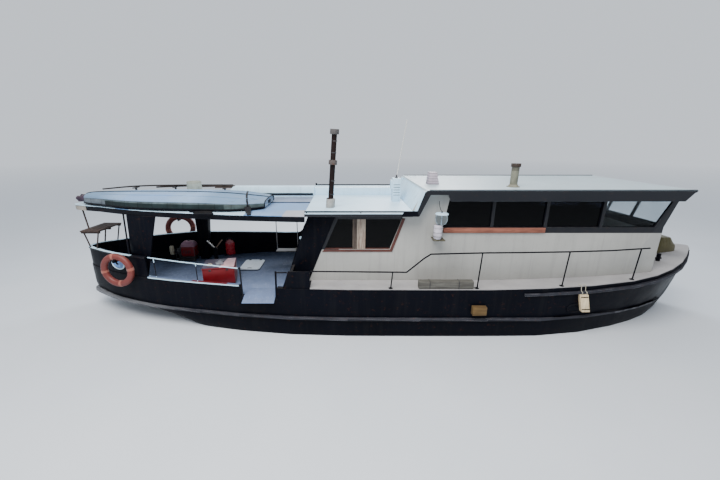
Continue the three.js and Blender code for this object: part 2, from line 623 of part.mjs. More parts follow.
// Tender laid bottom up on the canopy, its bow aft: station x, half breadth, height at the keel line.
const TENDER = [
  [-7110, 85, 180], [-7050, 150, 215], [-6900, 235, 240], [-6650, 335, 252], [-6350, 450, 258], [-6000, 580, 262],
  [-5600, 700, 265], [-5100, 785, 268], [-4500, 825, 266], [-3900, 850, 250], [-3450, 845, 222], [-3100, 725, 190],
  [-2900, 590, 172], [-2790, 500, 160],
];
const TENDER_RING = [[0.97, 0], [1, 0.14], [1, 0.42], [0.965, 0.62], [0.86, 0.78], [0.5, 0.93]];
const TENDER_Z = CANOPY_Z + 45;
const tenderY = (x) => -280 - 0.042 * (x + 2800);
const tender = loft(
  TENDER.map(([x, w, h]) => [
    ...TENDER_RING.map(([a, b]) => [-a, b]), [0, 1], ...TENDER_RING.map(([a, b]) => [a, b]).reverse(),
  ].map(([a, b]) => [tenderY(x) + a * w, TENDER_Z + b * h])),
  TENDER.map(([x]) => x),
);
const cradle = [[-6300, 360], [-4550, 680], [-3560, 700]].map(([x, w]) => box(x, x + 120, tenderY(x) - w,
  tenderY(x) + w, CANOPY_Z + 15, TENDER_Z - GAP).intersect(ribArea.translate([0, 0, 60])));
const cradleBar = box(-6300, -3440, -240, -160, CANOPY_Z + 20, TENDER_Z - GAP);
const canopyTop = box(-8000, 0, -2000, 2000, 2000, CANOPY_Z + 14 + GAP).add(rib.translate([0, 0, GAP]));
node('tender', tender, 'dinghy');
node('tender_cradle', join([...cradle, cradleBar]).subtract(canopyTop), 'black');

// Long white box along the far side of the canopy and the aft roof, and a cap on the canopy.
const roofBox = join([
  sidePlate([[-4200, CANOPY_Z + 14 + GAP], [-3960, 2835], [CANOPY_END, 2835], [CANOPY_END, CANOPY_Z + 14 + GAP]],
    820, 1110),
  box(CANOPY_END - 15, 320, 900, 1390, AFT_ROOF_Z + GAP, 2805),
]);
node('roof_box', roofBox, 'white');
const BUCKET = { x: -4960, y: 830, foot: 188, top: 172, height: 412 };
const bucket = new THREE.CylinderGeometry(BUCKET.top, BUCKET.foot, BUCKET.height, 28);
bucket.rotateX(Math.PI / 2);
bucket.translate(BUCKET.x, BUCKET.y, CANOPY_Z + 14 + GAP + BUCKET.height / 2);
node('roof_bucket', solidOf(bucket), 'cream');

// Lifebuoys.
BUOYS.forEach((b) => node(b.name, ringSolid([b.x, b.y, b.z], BUOY_R, BUOY_T, b.heading), 'buoy'));

// Shelf across the stern on four legs that stand on the bulwark cap, with a post up to the canopy.
const SHELF = { x0: -7255, x1: -6815, y0: -340, y1: 500, z: 1960, board: 140, pitch: 150 };
const shelfBoards = [0, 1, 2].map((k) => box(SHELF.x0 + k * SHELF.pitch, SHELF.x0 + k * SHELF.pitch + SHELF.board,
  SHELF.y0, SHELF.y1, SHELF.z - 30, SHELF.z));
const shelfBars = [SHELF.y0 + 40, 80, SHELF.y1 - 40].map((y) =>
  box(SHELF.x0 + 5, SHELF.x1 - 5, y - 20, y + 20, SHELF.z - 70, SHELF.z - 29));
const shelfLegs = [[-6855, -300, -6930, -375], [-6855, 460, -6930, 375], [-7200, -300, -7150, -225],
  [-7200, 460, -7150, 225]].map(([ax, ay, bx, by]) => rod([ax, ay, 1920], [bx, by, 1450], 16, 8));
const shelfTop = join([...shelfBoards, ...shelfBars]);
const tipPost = rod([-7225, -80, 1940], [-7290, -80, CANOPY_Z - 20], 18, 10)
  .subtract(box(-7600, -6000, -900, 900, CANOPY_Z - 80 - GAP, 3000));
node('stern_shelf', join([shelfTop, ...shelfLegs, tipPost]).subtract(sheerBand(-400, CAP_T + GAP)), 'rust');

// Rails: low white rail of the cockpit with its gate posts, dark handrails along the side decks.
function railEdge(inset, x0, x1, z, step = 450) {
  const count = Math.max(1, Math.round((x1 - x0) / step));
  const points = [];
  for (let i = 0; i <= count; i += 1) {
    const x = x0 + ((x1 - x0) * i) / count;
    points.push([x, -(at('half', x) - inset), z]);
  }
  return points;
}
const gateY = (x) => -(at('half', x) - 32);
const railLine = railEdge(50, COAMING_AFT + 60, GATE_AFT - 60, 0)
  .map(([x, y], i, all) => [x, y, 1550 - (85 * i) / (all.length - 1)]);
const cockpitRail = tube([...railLine, [GATE_AFT + 12, gateY(GATE_AFT), 1462]], 12);
const gateFoot = crossPlate([[RAMP.y0, 0], [-1300, 0], [-1300, FLOOR_Z + GAP], [RAMP.y1, FLOOR_Z + GAP],
  [RAMP.y0, FLOOR_Z - RAMP.drop + GAP]], -4000, -2000);
const gateAftY = gateY(GATE_AFT);
const gateAft = rod([GATE_AFT + 30, gateAftY, FLOOR_Z - 140], [GATE_AFT + 12, gateAftY, 1490], 16).subtract(gateFoot);
const gateTie = box(GATE_AFT - 60, GATE_AFT + 20, gateAftY + 4, gateAftY + 22, DECK_Z + 2, DECK_Z + 27);
const railFeet = [[-5200, 1540], [-4200, 1505]].map(([x, z]) =>
  rod([x, -(at('half', x) - 50), DECK_Z + 1], [x, -(at('half', x) - 50), z], 10));
node('cockpit_rail', join([coamingCap, gateTie, ...railFeet, cockpitRail, gateAft]), 'white');
const gateFwdY = gateY(GATE_FWD);
const shortRail = join([
  rod([GATE_FWD - 30, gateFwdY, FLOOR_Z - 140], [GATE_FWD - 12, gateFwdY, 1440], 20).subtract(gateFoot),
  rod([GATE_FWD - 13, gateFwdY, 1412], [GATE_FWD + 216, gateFwdY + 8, 1412], 14),
]);
node('gate_post_fwd', cut(shortRail, [bulkhead]), 'black');
const rampSlope = RAMP.drop / (RAMP.y1 - RAMP.y0);
const sillEdge = [-1700, FLOOR_Z - rampSlope * (RAMP.y1 + 1700)];
const sillPlate = crossPlate([[sillEdge[0], sillEdge[1] + 2 * GAP], [RAMP.y1, FLOOR_Z + GAP],
  [-1120, FLOOR_Z + GAP], [-1120, FLOOR_Z + 8], [RAMP.y1, FLOOR_Z + 8], [sillEdge[0], sillEdge[1] + 9]],
GATE_AFT + 60, GATE_FWD - 60);
node('gate_sill', sillPlate, 'steel');
const RAIL_POSTS = [[-120, 1450], [1640, 1860], [3380, 1873], [4900, 1886]];
function sideRail(side) {
  const aft = railEdge(60, CABIN_AFT + 20, 190, 1450, 2000);
  const fore = railEdge(60, 1640, 5150, 1880, 900).map(([x, y], i, all) => [x, y, 1860 + (30 * i) / (all.length - 1)]);
  const run = [...aft, [520, -1640, 1745], [650, -1640, 1835], ...fore].map(([x, y, z]) => [x, -side * y, z]);
  const posts = RAIL_POSTS.map(([x, z]) => {
    const y = side * (at('half', x + 30) - 60);
    return rod([x, y, at('deck', x) + 5], [x + 30, y, z], 13);
  });
  const rail = join([tube(run, 15), ...posts]);
  return cut(rail, [belowDeck, box(-3000, CABIN_AFT + GAP, -2000, 2000, 1000, 1600)]);
}
node('handrail_stbd', sideRail(-1), 'black');
node('handrail_port', sideRail(1), 'black');

// Glass strips inside the window openings.
const paneY = -CABIN_HALF + CABIN_T + GAP;
const panes = [
  ['glass_aft', sidePlate([[-1560, 1750], [-70, 1750], [150, 2500], [-1230, 2500]], paneY, paneY + 8)],
  ['glass_fwd', sidePlate([[930, 2230], [5440, 2230], [5640, 2880], [1030, 2880]], paneY, paneY + 8)],
];
const screenGlass = screenPlate(2300, 2860, -1130, 1130, -45.6, -53);
panes.forEach(([name, pane]) => {
  node(`${name}_stbd`, pane.subtract(screenGlass), 'glass');
  node(`${name}_port`, mirrored(pane).subtract(screenGlass), 'glass');
});
node('glass_screen', screenGlass, 'glass');
const sill = box(980, 3080, -CABIN_HALF - 34, -CABIN_HALF - GAP, 2159, 2262);
node('sill_board_stbd', sill, 'wood');
node('sill_board_port', mirrored(sill), 'wood');

// Roof gear.
const ventBox = join([box(60, 240, -110, 130, AFT_ROOF_Z, 3150), box(20, 61, -80, 100, 2900, 3100)]);
node('vent_box', ventBox.subtract(stepFace), 'white');
node('antenna', rod([150, 0, 3150 + GAP], [330, 0, 4430], 9, 8).subtract(box(0, 300, -200, 200, 3000, 3150 + GAP)),
  'white');
const hatchTrunk = sidePlate(
  [[768, FWD_ROOF_Z + GAP], [1008, FWD_ROOF_Z + GAP], [950, 3322], [795, 3322]],
  -540,
  -300,
);
node('roof_hatch', hatchTrunk, 'wood');
const cowl = join([
  rod([2450, -900, FWD_ROOF_Z - 20], [2450, -900, 3480], 75, 20),
  rod([2450, -900, 3470], [2450, -900, 3540], 95, 20),
]).subtract(fwdRoof);
node('roof_vent', cowl, 'cream');

// Cockpit gear.
const HATCH_LID = { z: FLOOR_Z + GAP, t: 45 };
const lid = box(HATCH.x0, HATCH.x1, HATCH.y0, HATCH.y1, HATCH_LID.z, HATCH_LID.z + HATCH_LID.t);
node('hatch_lid', lid, 'side');
const LOCKER = { x: -3915, y: -720, long: 690, wide: 600, turn: 13 };
const locker = box(-LOCKER.long / 2, LOCKER.long / 2, -LOCKER.wide / 2, LOCKER.wide / 2, FLOOR_Z + GAP, 1310);
node('locker', locker.rotate([0, 0, LOCKER.turn]).translate([LOCKER.x, LOCKER.y, 0]), 'red');
const MOTOR = { x: -5330, y: 735 };
const motor = join([
  box(MOTOR.x - 270, MOTOR.x + 260, MOTOR.y - 150, MOTOR.y + 130, FLOOR_Z + 90, FLOOR_Z + 425),
  rod([MOTOR.x - 240, MOTOR.y, FLOOR_Z + 425], [MOTOR.x + 230, MOTOR.y, FLOOR_Z + 425], 135, 16),
  box(MOTOR.x - 230, MOTOR.x + 200, MOTOR.y - 120, MOTOR.y + 100, FLOOR_Z + GAP, FLOOR_Z + 91),
]);
node('generator', motor, 'red');
const POST = { x: -4420, y: 380 };
const postArms = [[-190, 640], [190, 665]].map(([dx, dz]) =>
  rod([POST.x, POST.y, FLOOR_Z + 440], [POST.x + dx, POST.y, FLOOR_Z + dz], 20));
const winchPost = join([rod([POST.x, POST.y, FLOOR_Z - 20], [POST.x, POST.y, FLOOR_Z + 480], 50), ...postArms])
  .subtract(box(-6000, 0, -1000, 1000, 0, FLOOR_Z + GAP));
node('capstan', winchPost, 'black');
const swing = join([
  box(SWING.x0 - 20, SWING.x1 + 20, SWING.y - 110, SWING.y + 110, SWING.z - 28, SWING.z),
  ...[SWING.x0, SWING.x1].map((x) => rod([x, SWING.y, SWING.z - 14], [x, SWING.y, SWING.pivot], 11, 8)),
  rod([SWING.x0 - 15, SWING.y, SWING.pivot], [SWING.x1 + 15, SWING.y, SWING.pivot], SWING.pin, 24),
]);
node('swing_seat', swing, 'board');

// Deck gear.
node('stowed_plank', box(450, 1560, -1672, -1540, DECK_Z + 14 + 2 * GAP, DECK_Z + 178), 'board');
const fenderBoard = sidePlate([[3727, 985], [3895, 985], [4002, 592], [3832, 592]], -at('half', 3800) - 50,
  -at('half', 3980) + 25);
node('fender_board', fenderBoard.subtract(grownHull), 'cream');
node('fender_block', box(1550, 1835, -1800, -1690, 560, 745).subtract(grownHull), 'board');
const windlass = join([
  box(6330, 6900, -240, 240, 1300, 1590),
  rod([6610, -300, 1590], [6610, 300, 1590], 180, 20),
]).subtract(belowDeck);
node('windlass_cover', windlass, 'fabric');
const bitt = (x, y, z) => join([
  rod([x - 90, y, z], [x - 90, y, z + 230], 40),
  rod([x + 90, y, z], [x + 90, y, z + 230], 40),
  rod([x - 150, y, z + 120], [x + 150, y, z + 120], 24),
]);
const bowBitts = bitt(6000, -700, 1300);
node('bitts_bow_stbd', bowBitts.subtract(belowDeck), 'steel');
node('bitts_bow_port', mirrored(bowBitts).subtract(belowDeck), 'steel');

// Steering gear, shaft line and engine.
const PROP = { x: -5060, z: SHAFT_Z };
const blades = [0, 1, 2].map((k) => {
  const g = new THREE.BoxGeometry(24, 150, 220);
  g.rotateZ(0.5);
  g.translate(0, 0, 160);
  g.rotateX((k * 2 * Math.PI) / 3);
  g.translate(PROP.x, 0, PROP.z);
  return solidOf(g);
});
const propeller = join([rod([PROP.x - 80, 0, PROP.z], [PROP.x + 70, 0, PROP.z], 60, 16), ...blades,
  rod([PROP.x + 20, 0, PROP.z], [-3340, 0, PROP.z], SHAFT_R, 24)]);
node('propeller', propeller, 'bronze');
const rudderBlade = sidePlate(
  [[RUDDER.x - 420, -120], [RUDDER.x - 400, -600], [RUDDER.x - 60, -650], [RUDDER.x + 130, -600],
    [RUDDER.x + 130, -150], [RUDDER.x - 200, -60]],
  -20,
  20,
);
const rudderStock = rod([RUDDER.x, 0, -300], [RUDDER.x, 0, RUDDER.head], RUDDER.stock, 24);
const rudderPin = rod([RUDDER.x, 0, -805], [RUDDER.x, 0, -560], RUDDER.pin, 24);
node('rudder', join([rudderBlade, rudderStock, rudderPin]), 'black');

node('engine', join([
  box(-3330, -2480, -270, 270, -330 + GAP, 420),
  box(-3330, -3100, -110, 110, -465, -320),
]), 'steel');
const WHEEL = { x: 5060, z: 1560, radius: 290, shaft: 18 };
const rim = new THREE.TorusGeometry(WHEEL.radius, 20, 10, 32);
rim.rotateY(Math.PI / 2);
rim.translate(WHEEL.x, 0, WHEEL.z);
const spokes = [0, 1, 2].map((k) => {
  const a = (k * Math.PI) / 3;
  const dy = Math.cos(a) * (WHEEL.radius + 70);
  const dz = Math.sin(a) * (WHEEL.radius + 70);
  return rod([WHEEL.x, -dy, WHEEL.z - dz], [WHEEL.x, dy, WHEEL.z + dz], 13, 8);
});
const hub = rod([WHEEL.x - 40, 0, WHEEL.z], [WHEEL.x + 40, 0, WHEEL.z], 50, 16)
  .add(rod([WHEEL.x, 0, WHEEL.z], [5165, 0, WHEEL.z], WHEEL.shaft, 24));
node('steering_wheel', join([solidOf(rim), hub, ...spokes]), 'wood');
const helmStand = box(5110, 5290, -130, 130, SOLE_Z - 5, 1700)
  .subtract(rod([5100, 0, WHEEL.z], [5170, 0, WHEEL.z], WHEEL.shaft + BEARING, 24));
const sole = box(CABIN_AFT + 132, CABIN_FRONT - 200, -1000, 1000, SOLE_Z - 22, SOLE_Z);
node('cabin_sole', sole.add(helmStand), 'wood');

export default group;
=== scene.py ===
"""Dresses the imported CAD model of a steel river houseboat. Metres, +X to the bow, +Z up, water at z = 0."""

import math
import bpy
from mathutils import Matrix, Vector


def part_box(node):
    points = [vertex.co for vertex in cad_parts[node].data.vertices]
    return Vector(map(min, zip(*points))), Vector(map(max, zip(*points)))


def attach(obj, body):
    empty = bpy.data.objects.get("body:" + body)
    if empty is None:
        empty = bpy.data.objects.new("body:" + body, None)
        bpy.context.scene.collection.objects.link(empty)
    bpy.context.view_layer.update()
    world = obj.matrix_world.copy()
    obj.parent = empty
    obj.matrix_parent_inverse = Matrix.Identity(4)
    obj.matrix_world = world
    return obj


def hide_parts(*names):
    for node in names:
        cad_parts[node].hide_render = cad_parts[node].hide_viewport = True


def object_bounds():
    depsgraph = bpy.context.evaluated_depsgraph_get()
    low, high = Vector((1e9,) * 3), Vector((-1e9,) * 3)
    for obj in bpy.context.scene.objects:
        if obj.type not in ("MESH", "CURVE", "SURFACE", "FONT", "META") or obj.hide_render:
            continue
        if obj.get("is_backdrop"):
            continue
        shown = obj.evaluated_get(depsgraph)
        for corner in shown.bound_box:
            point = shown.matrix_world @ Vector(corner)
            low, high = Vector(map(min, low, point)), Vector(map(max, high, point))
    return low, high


bl_info = {
    "name": "Houseboat",
    "version": (1, 0, 0),
    "blender": (4, 5, 0),
    "location": "View3D > Sidebar > Houseboat",
    "description": "Paints and details the CAD model of a steel river houseboat",
    "category": "Object",
}

import bmesh
import bpy
from bpy.props import FloatProperty, FloatVectorProperty, IntProperty, PointerProperty
from mathutils import Matrix, Vector, noise
from mathutils.bvhtree import BVHTree

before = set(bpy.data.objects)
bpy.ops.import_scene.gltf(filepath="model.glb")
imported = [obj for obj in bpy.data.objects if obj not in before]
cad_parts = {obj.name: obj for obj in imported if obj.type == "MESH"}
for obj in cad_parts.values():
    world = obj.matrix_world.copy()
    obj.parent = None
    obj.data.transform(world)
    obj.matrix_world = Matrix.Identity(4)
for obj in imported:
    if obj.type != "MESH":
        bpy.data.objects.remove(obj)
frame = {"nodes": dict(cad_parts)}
CAD_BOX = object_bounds()

CANOPY_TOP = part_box("canopy_sheet")[1].z - 0.020
CANOPY_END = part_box("roof_aft")[0].x
AFT_ROOF_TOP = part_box("roof_aft")[1].z
FWD_ROOF_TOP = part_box("roof_fwd")[1].z
FLOOR_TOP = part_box("cockpit_floor")[1].z
SIDES = (-1, 1)
BED = 0.0005
UP = Vector((0.0, 0.0, 1.0))
ALONG_X, ALONG_Y = (1.0, 0.0, 0.0), (0.0, 1.0, 0.0)
RUST = (0.13, 0.045, 0.018)
GRIME = (0.028, 0.026, 0.023)
DUST = (0.33, 0.30, 0.25)
MOSS = (0.06, 0.075, 0.02)
SKY = (0.86, 0.92, 1.0)


def shade(colour, share):
    """The colour made darker or lighter."""
    return tuple(min(1.0, share * v) for v in colour)


# ---- Shader graphs -------------------------------------------------------------------------------


class Graph:
    """Adds and links the nodes of one shader tree."""

    def __init__(self, tree):
        self.tree = tree

    def put(self, socket, value):
        """Links value if it is a socket, and otherwise sets it as the socket's constant."""
        if isinstance(value, bpy.types.NodeSocket):
            self.tree.links.new(value, socket)
        elif value is not None:
            wide = socket.type == "RGBA" and len(value) == 3
            socket.default_value = (*value, 1.0) if wide else value

    def add(self, kind, settings=None, *first, **inputs):
        """Adds a node. first fills inputs by place, and inputs by name with _ for a space."""
        node = self.tree.nodes.new(kind)
        for key, value in (settings or {}).items():
            setattr(node, key, value)
        for place, value in enumerate(first):
            self.put(node.inputs[place], value)
        for key, value in inputs.items():
            self.put(node.inputs[key.replace("_", " ")], value)
        return node

    def math(self, operation, a, b=None, clamp=False):
        return self.add("ShaderNodeMath", {"operation": operation, "use_clamp": clamp}, a, b).outputs[0]

    def vector(self, operation, a, b, out="Vector"):
        return self.add("ShaderNodeVectorMath", {"operation": operation}, a, b).outputs[out]

    def mix(self, factor, a, b):
        node = self.add("ShaderNodeMix", {"data_type": "RGBA"}, factor)
        self.put(node.inputs[6], a)
        self.put(node.inputs[7], b)
        return node.outputs[2]

    def layer(self, tone, mask, share, colour):
        """Lays a share of a colour over the tone where the mask is."""
        return self.mix(self.math("MULTIPLY", mask, share), tone, colour)

    def dim(self, tone, share):
        return self.vector("MULTIPLY", tone, (share,) * 3)

    def spread(self, value, low, high, to_low=0.0, to_high=1.0):
        node = self.add("ShaderNodeMapRange", Value=value, From_Min=low, From_Max=high, To_Min=to_low, To_Max=to_high)
        return node.outputs["Result"]

    def noise(self, vector, scale, detail=3.0, roughness=0.55):
        node = self.add("ShaderNodeTexNoise", Vector=vector, Scale=scale, Detail=detail, Roughness=roughness)
        return node.outputs["Fac"]

    def axes(self, vector):
        return self.add("ShaderNodeSeparateXYZ", Vector=vector).outputs

    def group(self, tree, **inputs):
        return self.add("ShaderNodeGroup", {"node_tree": tree()}, **inputs).outputs

    def weather(self, where, patch, speck=14.0, streak=9.0):
        return self.group(weather_group, Vector=where, Patch_Scale=patch, Speck_Scale=speck, Streak_Scale=streak)

    def zone(self, where, low, high, soft=0.004):
        return self.group(zone_group, Vector=where, Low=low, High=high, Soft=soft)["Mask"]

    def surface(self, shader, tone, roughness, height, strength, depth, gloss=0.5):
        """Feeds the shader its colour, roughness, gloss and bump."""
        bump = self.add("ShaderNodeBump", Strength=strength, Distance=depth, Height=height)
        for name, value in (
            ("Base Color", tone),
            ("Roughness", roughness),
            ("Specular IOR Level", gloss),
            ("Normal", bump.outputs["Normal"]),
        ):
            self.put(shader.inputs[name], value)


def shader_group(name, outputs, **inputs):
    """Turns a function into a shader group, built once. An input with no default is a vector."""

    def made_by(fill):
        def tree():
            made = bpy.data.node_groups.get(name)
            if made is not None:
                return made
            made = bpy.data.node_groups.new(name, "ShaderNodeTree")
            for key, default in inputs.items():
                kind = "NodeSocketVector" if default is None else "NodeSocketFloat"
                socket = made.interface.new_socket(name=key.replace("_", " "), in_out="INPUT", socket_type=kind)
                if default is not None:
                    socket.default_value = default
            for key in outputs:
                made.interface.new_socket(name=key, in_out="OUTPUT", socket_type="NodeSocketFloat")
            g = Graph(made)
            source, target = g.add("NodeGroupInput"), g.add("NodeGroupOutput")
            for key, value in zip(outputs, fill(g, source.outputs)):
                g.put(target.inputs[key], value)
            return made

        return tree

    return made_by


@shader_group(
    "boat_weather", ("Patches", "Specks", "Streaks", "Grain"),
    Vector=None, Patch_Scale=1.5, Speck_Scale=14.0, Streak_Scale=9.0,
)
def weather_group(g, src):
    """Patches, fine specks, downward streaks and small grain of old paint."""
    where = src["Vector"]
    stretched = g.vector("MULTIPLY", where, (1.0, 1.0, 0.07))
    return (
        g.spread(g.noise(where, src["Patch Scale"], 5.0, 0.6), 0.3, 0.7),
        g.spread(g.noise(where, src["Speck Scale"], 4.0, 0.65), 0.60, 0.72),
        g.spread(g.noise(stretched, src["Streak Scale"], 4.0, 0.6), 0.50, 0.75),
        g.noise(where, 240.0, 2.0, 0.5),
    )


@shader_group("boat_edges", ("Mask",), Vector=None, Radius=0.01, Chip_Scale=12.0)
def edge_group(g, src):
    """Mask of the worn edges, broken up by noise."""
    soft = g.add("ShaderNodeBevel", {"samples": 4}, Radius=src["Radius"]).outputs["Normal"]
    plain = g.add("ShaderNodeNewGeometry").outputs["Normal"]
    edge = g.spread(g.vector("DOT_PRODUCT", soft, plain, "Value"), 0.985, 0.80)
    chips = g.spread(g.noise(src["Vector"], src["Chip Scale"], 4.0, 0.65), 0.42, 0.62)
    return (g.math("MULTIPLY", edge, chips, clamp=True),)


@shader_group("boat_dust", ("Mask", "Upward"), Vector=None, Scale=3.0)
def dust_group(g, src):
    """Mask of what settles on faces that look up, and of those faces."""
    upward = g.spread(g.axes(g.add("ShaderNodeNewGeometry").outputs["Normal"])["Z"], 0.5, 0.95)
    clouds = g.spread(g.noise(src["Vector"], src["Scale"], 5.0, 0.65), 0.35, 0.7)
    return g.math("MULTIPLY", upward, clouds, clamp=True), upward


@shader_group("boat_zone", ("Mask",), Vector=None, Low=None, High=None, Soft=0.004)
def zone_group(g, src):
    """Mask that is 1 between two corners and fades over the soft distance."""
    above = g.axes(g.vector("SUBTRACT", src["Vector"], src["Low"]))
    below = g.axes(g.vector("SUBTRACT", src["High"], src["Vector"]))
    least, *others = *above, *below
    for other in others:
        least = g.math("MINIMUM", least, other)
    return (g.math("DIVIDE", least, src["Soft"], clamp=True),)


@shader_group("boat_seams", ("Mask",), Value=0.0, Spacing=1.0, Width=0.004)
def seam_group(g, src):
    """Mask of narrow lines at even spacing along one coordinate."""
    inside = g.math("FRACT", g.math("DIVIDE", src["Value"], src["Spacing"]))
    centred = g.math("ABSOLUTE", g.math("SUBTRACT", inside, 0.5))
    near = g.math("MULTIPLY", g.math("SUBTRACT", 0.5, centred), src["Spacing"])
    return (g.math("DIVIDE", g.math("SUBTRACT", src["Width"], near), src["Width"], clamp=True),)


@shader_group("boat_wood", ("Grain", "Checks"), Vector=None, Stretch=None)
def wood_group(g, src):
    """Long grain and checks of sawn timber."""
    long = g.vector("MULTIPLY", src["Vector"], src["Stretch"])
    return g.spread(g.noise(long, 30.0, 6.0, 0.62), 0.32, 0.68), g.spread(g.noise(long, 75.0, 3.0, 0.5), 0.62, 0.70)


@shader_group("boat_weave", ("Height",), Vector=None, Threads=900.0)
def weave_group(g, src):
    """Height of crossed threads."""
    axes = g.axes(src["Vector"])
    along = g.math("SINE", g.math("MULTIPLY", axes["X"], src["Threads"]))
    across = g.math("SINE", g.math("MULTIPLY", g.math("ADD", axes["Y"], axes["Z"]), src["Threads"]))
    return (g.spread(g.math("MULTIPLY", along, across), -1.0, 1.0),)


def finish(draw):
    """Turns a function that draws a material into one that returns it by its name, drawn once."""

    def made(name, *args, **settings):
        label = "finish_" + name
        if label in bpy.data.materials:
            return bpy.data.materials[label]
        material = bpy.data.materials.new(label)
        material.use_nodes = True
        material.node_tree.nodes.clear()
        g = Graph(material.node_tree)
        shader = g.add("ShaderNodeBsdfPrincipled")
        g.output = g.add("ShaderNodeOutputMaterial", Surface=shader.outputs["BSDF"])
        draw(g, shader, g.add("ShaderNodeTexCoord").outputs["Object"], *args, **settings)
        return material

    return made


@finish
def paint(g, shader, where, colour, wear, zones=(), seams=(), worn=None, edge_radius=0.008, rough=(0.42, 0.68),
          bump=0.25, gloss=0.4):
    """Weathered paint.

    wear is how far each kind shows: (patches, their scale, streaks, rust, worn edges, dust). zones are
    (low, high, colour) boxes of another colour, and seams are (axis, spacing, width, dark).
    """
    patch, scale, streak, rust, edge, dust = wear
    weather = g.weather(where, scale)
    patches, base = weather["Patches"], colour
    for low, high, other in zones:
        base = g.mix(g.zone(where, low, high), base, other)
    tone = g.mix(patches, g.dim(base, 1 - patch), g.dim(base, 1 + patch * 0.5))
    tone = g.layer(tone, weather["Streaks"], streak, g.vector("ADD", g.dim(base, 0.5), shade(GRIME, 0.5)))
    height = g.math("ADD", g.math("MULTIPLY", weather["Grain"], 0.25), g.math("MULTIPLY", patches, 0.5))
    for axis, spacing, width, dark in seams:
        line = g.group(seam_group, Value=g.axes(where)[axis], Spacing=spacing, Width=width)["Mask"]
        tone = g.mix(line, tone, g.dim(tone, 1 - dark))
        height = g.math("SUBTRACT", height, g.math("MULTIPLY", line, 0.8))
    rusty = g.math("MULTIPLY", weather["Specks"], rust)
    tone = g.mix(rusty, tone, RUST)
    edges = g.group(edge_group, Vector=where, Radius=edge_radius)["Mask"]
    tone = g.layer(tone, edges, edge, worn or tuple(min(1.0, 0.6 * v + 0.12) for v in colour))
    tone = g.layer(tone, g.group(dust_group, Vector=where)["Mask"], dust, DUST)
    roughness = g.math("ADD", g.spread(patches, 0.0, 1.0, *rough), g.math("MULTIPLY", rusty, 0.3), clamp=True)
    g.surface(shader, tone, roughness, height, bump, 0.004, gloss)


@finish
def timber(g, shader, where, light, dark, stretch=(0.06, 1.0, 1.0), moss=0.0, rough=(0.7, 0.95)):
    """Weathered timber, its grain along the axis that stretch makes short."""
    wood = g.group(wood_group, Vector=where, Stretch=stretch)
    weather = g.weather(where, 4.0, 22.0)
    tone = g.layer(g.mix(wood["Grain"], dark, light), wood["Checks"], 0.7, shade(dark, 0.35))
    tone = g.layer(tone, weather["Patches"], 0.35, shade(dark, 0.6))
    tone = g.layer(tone, weather["Specks"], moss, MOSS)
    height = g.math("SUBTRACT", wood["Grain"], wood["Checks"])
    g.surface(shader, tone, g.spread(weather["Patches"], 0.0, 1.0, *rough), height, 0.5, 0.003, 0.3)


@finish
def canvas(g, shader, where, colour, threads, stains):
    """Woven cloth with stains and a soft sheen."""
    weave = g.group(weave_group, Vector=where, Threads=threads)["Height"]
    weather = g.weather(where, 5.0, 30.0)
    tone = g.mix(weather["Patches"], shade(colour, 0.7), shade(colour, 1.2))
    tone = g.layer(tone, weather["Specks"], stains, shade(colour, 0.4))
    tone = g.layer(tone, weave, 0.2, shade(colour, 0.5))
    g.put(shader.inputs["Sheen Weight"], 0.25)
    g.surface(shader, tone, g.spread(weather["Patches"], 0.0, 1.0, 0.8, 0.97), weave, 0.35, 0.0012, 0.2)


@finish
def window_glass(g, shader, where, clear_from, clear_to):
    """Dark glass that is clear between two stations, with a film of grime."""
    clear = g.zone(where, (clear_from, -2.0, 2.0), (clear_to, 2.0, 3.2), 0.02)
    patches = g.weather(where, 2.2, 30.0)["Patches"]
    grime = g.math("MULTIPLY", patches, 0.4)
    dark = g.mix(grime, (0.004, 0.005, 0.009), (0.010, 0.011, 0.016))
    light = g.mix(grime, (0.80, 0.85, 0.88), (0.55, 0.60, 0.62))
    g.put(shader.inputs["Transmission Weight"], 1.0)
    g.put(shader.inputs["IOR"], 1.2)
    g.surface(shader, g.mix(clear, dark, light), g.spread(patches, 0.0, 1.0, 0.03, 0.16), patches, 0.05, 0.002)


@finish
def bare_metal(g, shader, where, light, dark, rough=(0.3, 0.6), rust=0.2):
    """Dull metal with stains."""
    weather = g.weather(where, 6.0, 26.0, 14.0)
    tone = g.layer(g.mix(weather["Patches"], dark, light), weather["Streaks"], 0.35, shade(dark, 0.5))
    tone = g.layer(tone, weather["Specks"], rust, RUST)
    g.put(shader.inputs["Metallic"], g.spread(weather["Specks"], 0.0, 1.0, 0.85, 0.25))
    g.surface(shader, tone, g.spread(weather["Patches"], 0.0, 1.0, *rough), weather["Grain"], 0.25, 0.001)


@finish
def strake_paint(g, shader, where, c, pale_until):
    """Worn strake: pale at the stern, dark further on, with a lighter upper edge, partly rubbed paint and partly a
    painted highlight.
    """
    weather = g.weather(where, 2.6, 16.0, 7.0)
    patches = weather["Patches"]
    fade = g.spread(g.axes(where)["X"], pale_until, pale_until + 1.8)
    tone = g.mix(fade, c.strake, (0.026, 0.027, 0.036))
    tone = g.layer(tone, patches, 0.6, g.dim(tone, 0.45))
    # Lighter edges: partly rubbed paint, partly a painted highlight along the top edge.
    rubbed_and_highlit = g.group(edge_group, Vector=where, Radius=0.02, Chip_Scale=5.0)["Mask"]
    tone = g.layer(tone, rubbed_and_highlit, 0.5, (0.26, 0.26, 0.28))
    tone = g.layer(tone, weather["Specks"], 0.35, RUST)
    height = g.math("ADD", weather["Grain"], patches)
    g.surface(shader, tone, g.spread(patches, 0.0, 1.0, 0.5, 0.8), height, 0.4, 0.004, 0.2)


